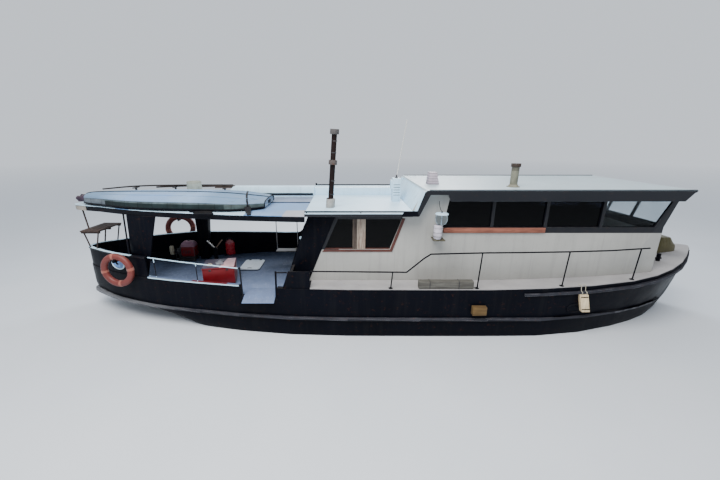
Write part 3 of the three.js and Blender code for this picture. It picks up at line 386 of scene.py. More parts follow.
@finish
def cap_paint(g, shader, where, top, face, zones=(), whole=()):
    """Paint that differs between the faces that look up and the rest. zones recolour the top, whole all."""
    weather = g.weather(where, 3.5, 18.0)
    for low, high, other in zones:
        top = g.mix(g.zone(where, low, high, 0.02), top, other)
    tone = g.mix(g.group(dust_group, Vector=where)["Upward"], face, top)
    for low, high, other in whole:
        tone = g.mix(g.zone(where, low, high, 0.002), tone, other)
    tone = g.layer(tone, weather["Patches"], 0.3, g.dim(tone, 0.6))
    tone = g.layer(tone, weather["Specks"], 0.25, RUST)
    g.surface(shader, tone, g.spread(weather["Patches"], 0.0, 1.0, 0.35, 0.62), weather["Grain"], 0.2, 0.003, 0.25)


@finish
def floor_paint(g, shader, where, c):
    """Steel floor, bright by the gate, with painted shade towards the far side and darker aft, with scuffs and plate
    joints.
    """
    weather, axes = g.weather(where, 3.0, 20.0), g.axes(where)
    patches = weather["Patches"]
    # Painted shade: the floor darkens towards the far side, and on the next line towards the aft end.
    tone = g.mix(g.spread(axes["Y"], -1.2, 1.1), c.floor, shade(c.floor, 0.36))
    tone = g.layer(tone, g.spread(axes["X"], -3.9, -4.6), 0.45, shade(c.floor, 0.32))
    tone = g.layer(tone, patches, 0.4, g.dim(tone, 0.62))
    scuffs = g.noise(g.vector("MULTIPLY", where, (3.0, 0.6, 1.0)), 16.0, 5.0, 0.7)
    tone = g.mix(g.spread(scuffs, 0.55, 0.75, 0.0, 0.5), tone, (0.42, 0.47, 0.56))
    tone = g.layer(tone, weather["Specks"], 0.3, (0.05, 0.05, 0.055))
    height = g.math("ADD", weather["Grain"], g.math("MULTIPLY", patches, 0.6))
    for axis, spacing in (("X", 1.2), ("Y", 0.8)):
        line = g.group(seam_group, Value=axes[axis], Spacing=spacing, Width=0.005)["Mask"]
        tone = g.layer(tone, line, 0.5, (0.05, 0.055, 0.07))
        height = g.math("SUBTRACT", height, line)
    g.surface(shader, tone, g.spread(patches, 0.0, 1.0, 0.28, 0.62), height, 0.5, 0.004, 0.4)


@finish
def tender_paint(g, shader, where, c):
    """Faded blue bottom, paler at both ends, with painted shade low down and on the middle of the near flank, and
    stains by its bow.
    """
    weather, axes = g.weather(where, 2.2, 11.0, 6.0), g.axes(where)
    patches, specks = weather["Patches"], weather["Specks"]
    blue = g.mix(patches, shade(c.tender, 0.8), c.tender)
    ends = g.math("MAXIMUM", g.spread(axes["X"], -6.0, -6.6), g.spread(axes["X"], -4.3, -3.9))
    tone = g.mix(ends, blue, (0.13, 0.225, 0.35))
    # Painted shade: the flanks darken and grey low down.
    tone = g.layer(tone, g.spread(axes["Z"], 2.78, 2.70), 0.55, (0.16, 0.20, 0.24))
    # Painted shade on the middle of the near flank.
    tone = g.layer(tone, g.zone(where, (-5.9, -1.0, 2.70), (-4.75, -0.35, 3.0), 0.15), 0.5, (0.14, 0.27, 0.52))
    tone = g.mix(g.math("MULTIPLY", g.spread(axes["X"], -3.6, -3.2), specks, clamp=True), tone, (0.05, 0.07, 0.06))
    tone = g.layer(tone, specks, 0.4, (0.12, 0.15, 0.18))
    tone = g.layer(tone, weather["Streaks"], 0.35, (0.20, 0.25, 0.30))
    height = g.math("ADD", weather["Grain"], patches)
    g.surface(shader, tone, g.spread(patches, 0.0, 1.0, 0.30, 0.55), height, 0.25, 0.003, 0.35)


@finish
def pale_floor(g, shader, where, s):
    """Plain floor. Far off it glows like the sky, so that no line shows where they meet."""
    cloud, axes = g.noise(where, 0.6), g.axes(where)
    g.put(shader.inputs["Base Color"], g.mix(cloud, (0.60, 0.64, 0.69), (0.66, 0.69, 0.73)))
    g.put(shader.inputs["Roughness"], g.spread(cloud, 0.3, 0.7, 0.55, 0.75))
    g.put(shader.inputs["Specular IOR Level"], 0.3)
    squares = [g.math("POWER", axes[axis], 2.0) for axis in "XY"]
    far = g.spread(g.math("SQRT", g.math("ADD", *squares)), 14.0, 75.0)
    glow = g.add("ShaderNodeEmission", Color=SKY, Strength=s.sky)
    blend = g.add("ShaderNodeMixShader", None, far, shader.outputs["BSDF"], glow.outputs["Emission"])
    g.put(g.output.inputs["Surface"], blend.outputs["Shader"])


# ---- Mesh making ---------------------------------------------------------------------------------


def circle(radius, count, first=0.0):
    """Points (a, b) round a circle."""
    return [
        (radius * math.cos(a), radius * math.sin(a)) for a in (first + 2 * math.pi * k / count for k in range(count))
    ]


class Shape:
    """Collects closed parts in one mesh; each part may name a material index."""

    def __init__(self):
        self.mesh = bmesh.new()

    def block(self, low, high, bevel, index=0, steps=2, turn=Matrix.Identity(3)):
        """Box between two corners, with rounded edges. turn is a matrix applied about its centre."""
        corners = bmesh.ops.create_cube(self.mesh, size=1.0)["verts"]
        centre = (Vector(low) + Vector(high)) / 2
        for v in corners:
            v.co = v.co * (Vector(high) - Vector(low))
        cut = bmesh.ops.bevel(
            self.mesh, geom=list({e for v in corners for e in v.link_edges}), offset=bevel, segments=steps,
            profile=0.5, affect="EDGES", clamp_overlap=True,
        )
        faces = {f for face in cut["faces"] for v in face.verts for f in v.link_faces}
        for v in {v for f in faces for v in f.verts}:
            v.co = centre + turn @ v.co
        for face in faces:
            face.material_index = index

    def rings(self, rings, index=0, loop=False):
        """Skin over rings of equal point count; loop joins the last ring to the first."""
        rows = [[self.mesh.verts.new(p) for p in ring] for ring in rings]
        faces = []
        for a, b in zip(rows, rows[1:] + (rows[:1] if loop else [])):
            for k in range(len(a)):
                n = (k + 1) % len(a)
                faces.append(self.mesh.faces.new((a[k], a[n], b[n], b[k])))
        if not loop:
            faces += [self.mesh.faces.new(rows[0][::-1]), self.mesh.faces.new(rows[-1])]
        for face in faces:
            face.material_index = index
        return faces

    def tube(self, points, radius, sides=12, index=0, loop=False, squash=1.0, up=UP):
        """Round or flattened bar along a path. radius may be one number or one for each point."""
        path = [Vector(p) for p in points]
        count = len(path)
        rings = []
        for i, p in enumerate(path):
            before = path[i - 1] if i or loop else p
            after = path[(i + 1) % count] if i < count - 1 or loop else p
            along = (after - before).normalized()
            side = along.cross(Vector(up))
            if side.length < 1e-3:
                side = along.cross(Vector((0.3, 1.0, 0.1)))
            side.normalize()
            top = side.cross(along).normalized() * squash
            r = radius[i] if isinstance(radius, list) else radius
            rings.append([p + side * a + top * b for a, b in circle(r, sides)])
        self.rings(rings, index, loop)

    def turned(self, profile, base, axis=UP, sides=32, index=0):
        """Solid of revolution: profile is (radius, distance along the axis) from the base point."""
        axis = Vector(axis).normalized()
        side = axis.cross(Vector((0.31, 0.95, 0.07))).normalized()
        top = axis.cross(side)
        rings = [[Vector(base) + axis * h + side * a + top * b for a, b in circle(r, sides)] for r, h in profile]
        self.rings(rings, index)

    def hoop(self, base, inner, outer, half, lip, axis=UP, sides=32, index=0):
        """Band with rounded edges round an axis."""
        self.turned([(inner, -half), (outer, -lip), (outer, lip), (inner, half)], base, axis, sides, index)

    def bolts(self, centre, reach, count, radius, tall, first=0.0):
        """Ring of bolt heads on a flat top."""
        for a, b in circle(reach, count, first):
            profile = [(0.0, 0.0), (radius, 0.0), (radius - 0.001, tall - 0.001), (0.0, tall)]
            self.turned(profile, Vector(centre) + Vector((a, b, 0.0)), sides=8)

    def plate(self, outline, thick, index=0):
        """Flat polygon of 3-D points made thick along a vector."""
        self.rings([outline, [Vector(p) + Vector(thick) for p in outline]], index)

    def placed(self, centre, heading):
        """Turns everything made so far about Z and moves it to a place."""
        move = Matrix.Translation(Vector(centre)) @ Matrix.Rotation(heading, 4, "Z")
        bmesh.ops.transform(self.mesh, matrix=move, verts=self.mesh.verts)

    def piece(self, name, materials, slot, body="boat", smooth=35.0, stands_for=()):
        """Writes the mesh as an object that rides on a body."""
        bmesh.ops.recalc_face_normals(self.mesh, faces=self.mesh.faces)
        data = bpy.data.meshes.new(name)
        self.mesh.to_mesh(data)
        self.mesh.free()
        for material in materials if isinstance(materials, list) else [materials]:
            data.materials.append(material)
        data.shade_smooth()
        data.set_sharp_from_angle(angle=math.radians(smooth))
        made = bpy.data.objects.new(name, data)
        bpy.context.scene.collection.objects.link(made)
        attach(made, body)
        if stands_for:
            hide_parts(*stands_for)
        return made


def soften_tree(angle):
    """Modifier tree that shades a mesh smooth where it bends by less than an angle."""
    name = f"soften_{round(angle)}"
    tree = bpy.data.node_groups.get(name)
    if tree is not None:
        return tree
    tree = bpy.data.node_groups.new(name, "GeometryNodeTree")
    for way in ("INPUT", "OUTPUT"):
        tree.interface.new_socket(name="Geometry", in_out=way, socket_type="NodeSocketGeometry")
    g = Graph(tree)
    source, target = g.add("NodeGroupInput"), g.add("NodeGroupOutput")
    bend = g.add("GeometryNodeInputMeshEdgeAngle").outputs["Unsigned Angle"]
    test = g.add("FunctionNodeCompare", {"data_type": "FLOAT", "operation": "LESS_THAN"}, A=bend, B=math.radians(angle))
    smooth = "GeometryNodeSetShadeSmooth"
    faces = g.add(smooth, {"domain": "FACE"}, Geometry=source.outputs[0])
    edges = g.add(smooth, {"domain": "EDGE"}, Geometry=faces.outputs[0], Shade_Smooth=test.outputs["Result"])
    g.put(target.inputs[0], edges.outputs[0])
    return tree


def dress(nodes, material, bevel=0.0, angle=32.0):
    """Gives CAD nodes their material, small rounded edges and smooth shading, all by modifiers."""
    for node in nodes.split():
        part = frame["nodes"][node]
        for slot in part.material_slots:
            slot.material = material
        part.modifiers.new("weld", "WELD").merge_threshold = 0.00005
        if bevel:
            flat = part.modifiers.new("flat", "DECIMATE")
            flat.decimate_type = "DISSOLVE"
            flat.angle_limit = math.radians(0.6)
            edge = part.modifiers.new("edge", "BEVEL")
            edge.width = bevel
            edge.segments = 2
            edge.limit_method = "ANGLE"
            edge.angle_limit = math.radians(angle)
            edge.use_clamp_overlap = True
        part.modifiers.new("soft", "NODES").node_group = soften_tree(angle)


def smooth_line(points, steps):
    """Catmull-Rom line through the points, with that many steps between each pair."""
    path = [Vector(p) for p in points]
    path = [path[0] * 2 - path[1], *path, path[-1] * 2 - path[-2]]
    out = []
    for p0, p1, p2, p3 in zip(path, path[1:], path[2:], path[3:]):
        for t in (s / steps for s in range(steps)):
            bend = (2 * p0 - 5 * p1 + 4 * p2 - p3) * t * t
            out.append(0.5 * (2 * p1 + (p2 - p0) * t + bend + (3 * p1 - p0 - 3 * p2 + p3) * t * t * t))
    return out + [path[-2]]


def rounded(low, high, radius, steps=6):
    """Outline of a rectangle with round corners, as (a, b) pairs."""
    out = []
    for quarter, (a, b) in enumerate(((high[0], high[1]), (low[0], high[1]), (low[0], low[1]), (high[0], low[1]))):
        ca = a - radius if quarter in (0, 3) else a + radius
        cb = b - radius if quarter in (0, 1) else b + radius
        for i in range(steps + 1):
            angle = math.pi / 2 * (quarter + i / steps)
            out.append((ca + radius * math.cos(angle), cb + radius * math.sin(angle)))
    return out


def inset(outline, amount):
    """The outline drawn in towards its middle."""
    ca, cb = (sum(values) / len(outline) for values in zip(*outline))
    wide, tall = (max(values) - middle for values, middle in zip(zip(*outline), (ca, cb)))
    return [(ca + (a - ca) * (1 - amount / wide), cb + (b - cb) * (1 - amount / tall)) for a, b in outline]


class Skin:
    """Outer surface of a CAD node, to seat small pieces on. Each call gives (point, normal)."""

    def __init__(self, node):
        part = frame["nodes"][node]
        points = [part.matrix_world @ v.co for v in part.data.vertices]
        self.tree = BVHTree.FromPolygons(points, [tuple(p.vertices) for p in part.data.polygons])

    def hit(self, start, way):
        return self.tree.ray_cast(Vector(start), Vector(way))[:2]

    def from_side(self, x, z, side=-1):
        return self.hit((x, 3.0 * side, z), (0.0, -side, 0.0))

    def from_above(self, x, y):
        return self.hit((x, y, 8.0), (0.0, 0.0, -1.0))


# ---- Settings ------------------------------------------------------------------------------------


def swatch(name, description, rgb):
    return FloatVectorProperty(
        name=name, description=description, subtype="COLOR", size=3, min=0.0, max=1.0, default=rgb
    )


def measure(name, description, metres, high=20.0):
    return FloatProperty(
        name=name, description=description, subtype="DISTANCE", unit="LENGTH", min=0.0, max=high, default=metres
    )


class HouseboatColours(bpy.types.PropertyGroup):
    """Paint colours, linear."""

    black: swatch("Black", "Hull, bulwark, pillars and trim", (0.0026, 0.0032, 0.0065))
    side: swatch("Side", "Cabin sides", (0.385, 0.38, 0.355))
    white: swatch("White", "Roofs, caps and rails", (0.54, 0.74, 0.88))
    canopy: swatch("Canopy", "Canopy sheet between the beams", (0.15, 0.27, 0.48))
    strake: swatch("Strake", "Rubbing strakes at the stern", (0.17, 0.175, 0.19))
    deck: swatch("Deck", "Side decks and foredeck", (0.33, 0.32, 0.325))
    floor: swatch("Floor", "Cockpit floor by the gate", (0.15, 0.205, 0.34))
    tender: swatch("Tender", "Bottom of the tender", (0.24, 0.37, 0.56))
    # Near black: partly the tender's dark stripe, partly painted shade on its steep sides.
    band: swatch("Band", "Side band of the tender", (0.014, 0.024, 0.026))
    buoy: swatch("Lifebuoy", "Lifebuoys", (0.16, 0.034, 0.028))
    red: swatch("Red", "Locker and generator", (0.15, 0.0035, 0.007))
    # Painted highlight: the pink on the locker's top stands for sky light, not faded paint.
    pink: swatch("Top highlight", "Painted highlight on the locker's top", (0.70, 0.42, 0.44))
    cream: swatch("Cream", "Vent, cap and fender board", (0.62, 0.56, 0.42))
    sill: swatch("Sill", "Board under the forward windows", (0.36, 0.13, 0.085))
    frame: swatch("Frame", "Frame of the aft window", (0.085, 0.026, 0.020))


class HouseboatSizes(bpy.types.PropertyGroup):
    """Sizes of the added pieces."""

    lip: measure("Roof lip", "Height of the black lip along the roof edges", 0.046)
    seam: measure("Roof seam", "Spacing of the seams on the white roofs", 0.30)
    plate: measure("Plate", "Spacing of the plate joints on the cabin sides", 1.45)
    rope: measure("Rope", "Thickness of the lashings", 0.012)
    band: measure("Lifebuoy band", "Width of the bands on the lifebuoys", 0.055)
    louvres: IntProperty(name="Louvres", description="Slots in the vent trunk", min=1, max=12, default=5)


class HouseboatStage(bpy.types.PropertyGroup):
    """Camera, floor and lights."""

    eye: FloatVectorProperty(
        name="Eye", description="Camera position", subtype="TRANSLATION", size=3, default=(-1.05, -7.904, 3.995)
    )
    tilt: FloatProperty(
        name="Tilt", description="Camera angle below the horizon", subtype="ANGLE", default=math.radians(16.6)
    )
    lens: FloatProperty(name="Lens", description="Focal length", unit="CAMERA", default=16.75, min=8.0, max=100.0)
    shift: FloatProperty(name="Shift", description="Sideways lens shift", default=0.0208, min=-0.2, max=0.2)
    floor: measure("Floor", "Half width of the floor", 200.0, 400.0)
    sky: FloatProperty(name="Sky", description="Strength of the sky", default=0.95, min=0.0, max=10.0)
    lamp: FloatProperty(name="Lamp", description="Power of the large lamp", unit="POWER", default=2600.0, min=0.0)


# ---- Finishes of the boat ------------------------------------------------------------------------


def black_paint(c):
    return paint(
        "black_paint", c.black, (0.35, 0.9, 0.30, 0.16, 0.25, 0.06), worn=(0.016, 0.017, 0.021), rough=(0.32, 0.60),
        gloss=0.05, bump=0.3,
    )


def trim_paint(c):
    return paint(
        "trim_paint", c.black, (0.3, 2.0, 0.15, 0.12, 0.30, 0.06), edge_radius=0.005, worn=(0.03, 0.029, 0.031),
        rough=(0.36, 0.60), gloss=0.07,
    )


def white_paint(c):
    return paint(
        "white_paint", c.white, (0.10, 2.2, 0.35, 0.22, 0.45, 0.18), edge_radius=0.005, worn=(0.30, 0.20, 0.14),
        rough=(0.38, 0.60),
    )


def cream_paint(c):
    return paint(
        "cream_paint", c.cream, (0.14, 5.0, 0.5, 0.3, 0.5, 0.1), edge_radius=0.004, worn=(0.20, 0.12, 0.07),
        rough=(0.5, 0.75),
    )


def dark_steel():
    return bare_metal("dark_steel", (0.10, 0.10, 0.105), (0.03, 0.03, 0.034), (0.4, 0.65), 0.5)


def rope_fibre():
    return canvas("rope_fibre", (0.46, 0.42, 0.33), 1400.0, 0.5)


# ---- Stage ---------------------------------------------------------------------------------------


def build_stage(s):
    floor = bpy.data.meshes.new("water_level")
    r = s.floor
    floor.from_pydata([(-r, -r, 0), (r, -r, 0), (r, r, 0), (-r, r, 0)], [], [(0, 1, 2, 3)])
    floor.materials.append(pale_floor("pale_floor", s))
    ground = bpy.data.objects.new("water_level", floor)
    bpy.context.scene.collection.objects.link(ground)
    ground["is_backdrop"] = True

    world = bpy.data.worlds.new("sky")
    bpy.context.scene.world = world
    world.use_nodes = True
    background = world.node_tree.nodes["Background"]
    background.inputs["Color"].default_value = (*SKY, 1.0)
    background.inputs["Strength"].default_value = s.sky

    lamps = [
        ("lamp_over", (-3.0, -7.0, 12.0), (0.0, 0.0, 1.0), 9.0, s.lamp, (1.0, 0.98, 0.95)),
        ("lamp_far", (3.0, 11.0, 9.0), (0.0, 0.5, 1.5), 8.0, s.lamp * 0.5, (0.92, 0.96, 1.0)),
    ]
    for name, place, target, size, power, tint in lamps:
        light = bpy.data.lights.new(name, "AREA")
        light.shape = "DISK"
        light.size = size
        light.energy = power
        light.color = tint
        lamp = bpy.data.objects.new(name, light)
        lamp.location = place
        lamp.rotation_euler = (Vector(target) - Vector(place)).to_track_quat("-Z", "Y").to_euler()
        bpy.context.scene.collection.objects.link(lamp)

    camera = bpy.data.cameras.new("camera")
    camera.sensor_width = 36.0
    camera.lens = s.lens
    camera.shift_x = s.shift
    eye = bpy.data.objects.new("camera", camera)
    eye.location = s.eye
    eye.rotation_euler = (math.pi / 2 - s.tilt, 0.0, 0.0)
    bpy.context.scene.collection.objects.link(eye)
    bpy.context.scene.camera = eye


# ---- Hull and deck -------------------------------------------------------------------------------


def build_lower_strake(c):
    """Lower strake, drawn in to the flare of the bow so that it lies on the hull all the way."""
    side_of = Skin("hull")
    node = frame["nodes"]["strake_lower"]
    strake = Shape()
    strake.mesh.from_mesh(node.data)
    bmesh.ops.remove_doubles(strake.mesh, verts=strake.mesh.verts, dist=0.0001)
    thick, bedded, flare_from, end = 0.045, 0.004, 3.1, 6.299
    outer = {}
    for v in strake.mesh.verts:
        x = round(v.co.x, 2)
        outer[x] = max(outer.get(x, 0.0), abs(v.co.y))
    for v in strake.mesh.verts:
        if v.co.x < flare_from:
            continue
        side = 1 if v.co.y > 0 else -1
        hit, _ = side_of.from_side(min(v.co.x, end), v.co.z, side)
        proud = thick if abs(v.co.y) > outer[round(v.co.x, 2)] - 0.03 else -bedded
        v.co.y = side * (abs(hit.y) + proud)
    finish_of = strake_paint("strake_lower_paint", c, -6.2)
    strake.piece("strake_band", finish_of, slot="strake_steel", stands_for=("strake_lower",))


def build_hull(c, z):
    dress("hull bulwark", black_paint(c), angle=28.0)
    build_lower_strake(c)
    dress("strake_upper", strake_paint("strake_upper_paint", c, -9.0))
    quarter = ((-5.80, -1.9, 1.3), (-5.0, 0.0, 1.7), c.black)
    dress("bulwark_cap", cap_paint("bulwark_cap_paint", c.white, c.black, zones=(quarter,)))
    deck = paint("deck_paint", c.deck, (0.16, 2.8, 0.0, 0.18, 0.3, 0.20), rough=(0.6, 0.85), bump=0.5)
    dress("deck", deck)
    dress("gate_sill", floor_paint("floor_paint", c), 0.001)
    dress("rudder", black_paint(c), 0.003)
    dress("propeller", bare_metal("bronze", (0.45, 0.26, 0.10), (0.16, 0.12, 0.07), (0.3, 0.5), 0.1), 0.002)
    dress("engine", paint("engine_paint", (0.06, 0.14, 0.09), (0.3, 1.4, 0.25, 0.3, 0.35, 0.25)), 0.01)


def build_fairleads(c, z):
    """Oval fairlead in each quarter and the recessed hawse mouth in each bow."""
    side_skin, bow_skin = Skin("bulwark"), Skin("hull")
    rims, panes, mouths = Shape(), Shape(), Shape()

    def oval(skin, side, centre, wide, tall, lift, count=32):
        """Points of an oval that lies on the boat's side."""
        hits = [skin.from_side(centre[0] + wide * a, centre[1] + tall * b, side) for a, b in circle(1.0, count)]
        return [hit + normal * lift for hit, normal in hits]

    quarter, bow = (-6.195, 1.300), (3.73, 0.63)
    for side in SIDES:
        up = (0.0, side, 0.2)
        rims.tube(oval(side_skin, side, quarter, 0.185, 0.115, 0.006), 0.014, sides=10, loop=True, up=up)
        panes.plate(oval(side_skin, side, quarter, 0.176, 0.106, 0.0006), (0.0, side * 0.004, 0.0))
        mouths.tube(oval(bow_skin, side, bow, 0.16, 0.10, 0.005, 24), 0.014, sides=10, loop=True, up=up)
    rims.piece("fairlead_rims", white_paint(c), slot="white_paint")
    glazing = paint(
        "fairlead_blue", (0.11, 0.27, 0.60), (0.5, 9.0, 0.0, 0.0, 0.0, 0.0), rough=(0.12, 0.3),
        zones=(((-6.5, -2.0, 1.1), (-5.8, 2.0, 1.215), (0.03, 0.02, 0.025)),),
    )
    panes.piece("fairlead_panes", glazing, slot="glass")
    mouths.piece("hawse_rims", trim_paint(c), slot="black_steel")


# ---- Cabin ---------------------------------------------------------------------------------------


def build_cabin(c, z):
    walls = paint(
        "side_paint", c.side, (0.12, 1.1, 0.30, 0.10, 0.35, 0.05), seams=(("X", z.plate, 0.004, 0.25),),
        rough=(0.45, 0.65),
        zones=(
            ((0.985, -1.5, 2.145), (5.9, 1.5, 2.275), c.black),
            ((1.06, -1.5, 2.25), (5.9, 1.5, 2.90), c.black),
            ((-2.2, -1.5, 1.785), (-1.18, 1.5, 2.60), c.black),
            # Painted shadow: the black strip between the aft window and the roof's edge.
            ((-1.4, -1.5, 2.435), (0.13, 1.5, 2.60), c.black),
        ),
    )
    dress("cabin_side_stbd cabin_side_port cabin_front", walls, 0.003)
    dress("step_face", white_paint(c), 0.003)
    dress("bulkhead_aft cabin_door pillar_stbd canopy_post_port", black_paint(c), 0.004)
    sole = timber("sole_boards", (0.20, 0.13, 0.08), (0.09, 0.055, 0.035))
    dress("cabin_sole", sole, 0.002)
    dress("steering_wheel", timber("wheel_wood", (0.22, 0.10, 0.05), (0.10, 0.04, 0.02), rough=(0.3, 0.5)))


WALL_FACE, PANE_FACE, GASKET_FACE = 1.2004, 1.1605, 1.1600
# Boards round the aft window: outline (x, z), face they lie on, depth, material.
WINDOW_BOARDS = [
    ([(-1.535, 1.742), (-0.062, 1.742), (-0.105, 1.787), (-1.49, 1.787)], WALL_FACE, 0.016, 0),
    ([(-0.062, 1.742), (0.186, 2.458), (0.128, 2.458), (-0.105, 1.787)], WALL_FACE, 0.018, 0),
    ([(-0.800, 1.793), (-0.626, 1.793), (-0.626, 2.437), (-0.800, 2.437)], PANE_FACE, 0.030, 2),
    ([(-0.892, 1.793), (-0.803, 1.793), (-0.803, 2.437), (-0.892, 2.437)], PANE_FACE, 0.024, 1),
    ([(-1.476, 1.793), (-0.895, 1.793), (-0.895, 1.812), (-1.469, 1.812)], PANE_FACE, 0.020, 0),
    ([(-0.623, 1.793), (-0.112, 1.793), (-0.106, 1.812), (-0.623, 1.812)], PANE_FACE, 0.020, 0),
]
# Corners of the forward windows (x, z).
FORWARD_WINDOWS = [
    [(0.965, 2.27), (1.95, 2.27), (1.95, 2.84), (1.06, 2.84)],
    [(2.01, 2.27), (3.05, 2.27), (3.05, 2.84), (2.01, 2.84)],
    [(3.11, 2.27), (4.20, 2.27), (4.20, 2.84), (3.11, 2.84)],
    [(4.26, 2.27), (5.34, 2.27), (5.60, 2.84), (4.26, 2.84)],
]


def build_windows(c, z):
    glass = window_glass("cabin_glass", 4.23, 6.2)
    dress("glass_aft_stbd glass_aft_port glass_fwd_stbd glass_fwd_port glass_screen", glass)
    sill = timber("sill_wood", tuple(c.sill), shade(c.sill, 0.5), rough=(0.55, 0.8))
    dress("sill_board_stbd sill_board_port", sill, 0.003)

    frame_paint = paint(
        "frame_paint", c.frame, (0.4, 7.0, 0.5, 0.5, 0.6, 0.0), edge_radius=0.004, worn=(0.22, 0.11, 0.085),
        rough=(0.5, 0.8), bump=0.5,
    )
    board = timber("mullion_board", (0.47, 0.41, 0.33), (0.20, 0.13, 0.10), stretch=(1.0, 1.0, 0.10), moss=0.25)
    stained = timber("stained_strip", (0.13, 0.10, 0.08), (0.035, 0.025, 0.022), stretch=(1.0, 1.0, 0.1), moss=0.2)
    for side, name in zip(SIDES, ("stbd", "port")):
        frames = Shape()
        for outline, y, depth, index in WINDOW_BOARDS:
            frames.plate([(a, side * y, b) for a, b in outline], (0.0, side * depth, 0.0), index)
        frames.piece(f"window_frame_{name}", [frame_paint, stained, board], slot="dark_wood", smooth=20)

    gaskets = Shape()
    for opening in FORWARD_WINDOWS:
        for side in SIDES:
            outline, hole = (
                [(a, side * GASKET_FACE, b) for a, b in inset(opening, amount)] for amount in (0.001, 0.012)
            )
            for k in range(4):
                n = (k + 1) % 4
                gaskets.plate([outline[k], outline[n], hole[n], hole[k]], (0.0, side * 0.012, 0.0))
    gaskets.piece("window_gaskets", trim_paint(c), slot="black_steel", smooth=20)


def build_roofs(c, z):
    roof = paint(
        "roof_paint", c.white, (0.08, 1.3, 0.0, 0.10, 0.2, 0.10), seams=(("Y", z.seam, 0.005, 0.10),),
        rough=(0.30, 0.55), bump=0.3,
        zones=(
            ((0.50, -1.6, 3.03), (5.9, 1.6, 3.10), (0.40, 0.49, 0.53)),
            ((-2.2, -1.6, 2.40), (0.36, -1.40, 2.602), c.black),
            ((-2.2, 1.40, 2.40), (0.36, 1.6, 2.602), c.black),
            ((0.28, -1.6, 2.60), (5.9, -1.44, 3.0638), c.black),
            ((0.28, 1.44, 2.60), (5.9, 1.6, 3.0638), c.black),
            ((5.3, -1.6, 2.60), (5.9, 1.6, 3.0638), c.black),
            ((0.28, -1.6, 2.50), (0.66, -1.444, 3.05), c.black),
            ((0.28, 1.444, 2.50), (0.66, 1.6, 3.05), c.black),
            ((0.66, -1.6, 2.60), (5.9, 1.6, 3.0250), c.black),
        ),
    )
    dress("roof_aft roof_fwd", roof)
    lips = Shape()
    top = AFT_ROOF_TOP
    lips.block((-1.850, -1.4495, top + 0.016), (0.330, -1.430, top + 0.046), 0.003)
    for x in (-1.82, -0.75, 0.29):
        lips.block((x, -1.447, top + 0.0004), (x + 0.02, -1.436, top + 0.0165), 0.002)
    elbow = [(0.060, 2.552), (0.405, 2.552), (0.372, 2.6605), (0.110, 2.6605)]
    lips.plate([(x, -1.4504, h) for x, h in elbow], (0.0, -0.010, 0.0))
    lips.block((-1.850, 1.395, top + 0.0004), (0.318, 1.425, top + z.lip), 0.006)
    top = FWD_ROOF_TOP
    for y in (-1.4495, 1.4255):
        lips.block((0.580, y, top + 0.0004), (5.750, y + 0.024, top + 0.014), 0.003)
    lips.piece("roof_lips", trim_paint(c), slot="black_steel")


# ---- Canopy, tender and what lies on top ---------------------------------------------------------

# Tender, bottom up: station x, half breadth, height of the keel line.
TENDER = [
    (-7.11, 0.085, 0.180), (-7.05, 0.150, 0.215), (-6.90, 0.235, 0.240), (-6.65, 0.335, 0.252), (-6.35, 0.450, 0.258),
    (-6.00, 0.580, 0.262), (-5.60, 0.700, 0.265), (-5.10, 0.785, 0.268), (-4.50, 0.825, 0.266), (-3.90, 0.850, 0.250),
    (-3.45, 0.845, 0.222), (-3.10, 0.725, 0.190), (-2.90, 0.590, 0.172), (-2.79, 0.500, 0.160),
]
TENDER_Z = 2.595
# Section of the tender as shares of half breadth and height, from the gunwale to the keel.
TENDER_SECTION = [
    (0.97, 0.0), (1.0, 0.10), (1.0, 0.30), (0.992, 0.44), (0.965, 0.60), (0.915, 0.71), (0.84, 0.795), (0.68, 0.87),
    (0.48, 0.93), (0.25, 0.98), (0.0, 1.0),
]
BAND_FACES = 4


def tender_y(x):
    """The tender's middle line runs slightly to port towards its bow."""
    return -0.28 - 0.042 * (x + 2.80)


def tender_ring(half, height, grow=0.0):
    """Points of one section, from the port gunwale over the keel to the starboard one."""
    port = [(half * a + grow * min(1.0, a * 1.2), height * b + grow * b) for a, b in TENDER_SECTION]
    return port + [(-a, b) for a, b in reversed(port[:-1])]


# The tender's side band: partly its dark stripe, partly painted shade on its steep sides; its zones paint it lighter at
# both ends and along its top.
def band_and_shade_paint(c):
    return paint(
        "tender_band", c.band, (0.5, 5.0, 0.5, 0.05, 0.15, 0.0), seams=(("X", 0.34, 0.012, 0.6),), rough=(0.5, 0.8),
        worn=(0.07, 0.09, 0.09), gloss=0.12,
        zones=(
            ((-7.3, -1.4, 2.5), (-6.35, 0.8, 3.0), (0.13, 0.155, 0.18)),
            ((-3.55, -1.4, 2.5), (-2.7, 0.8, 3.0), (0.055, 0.075, 0.075)),
            ((-6.4, -1.4, 2.715), (-2.7, 0.8, 3.0), (0.085, 0.11, 0.12)),
        ),
    )


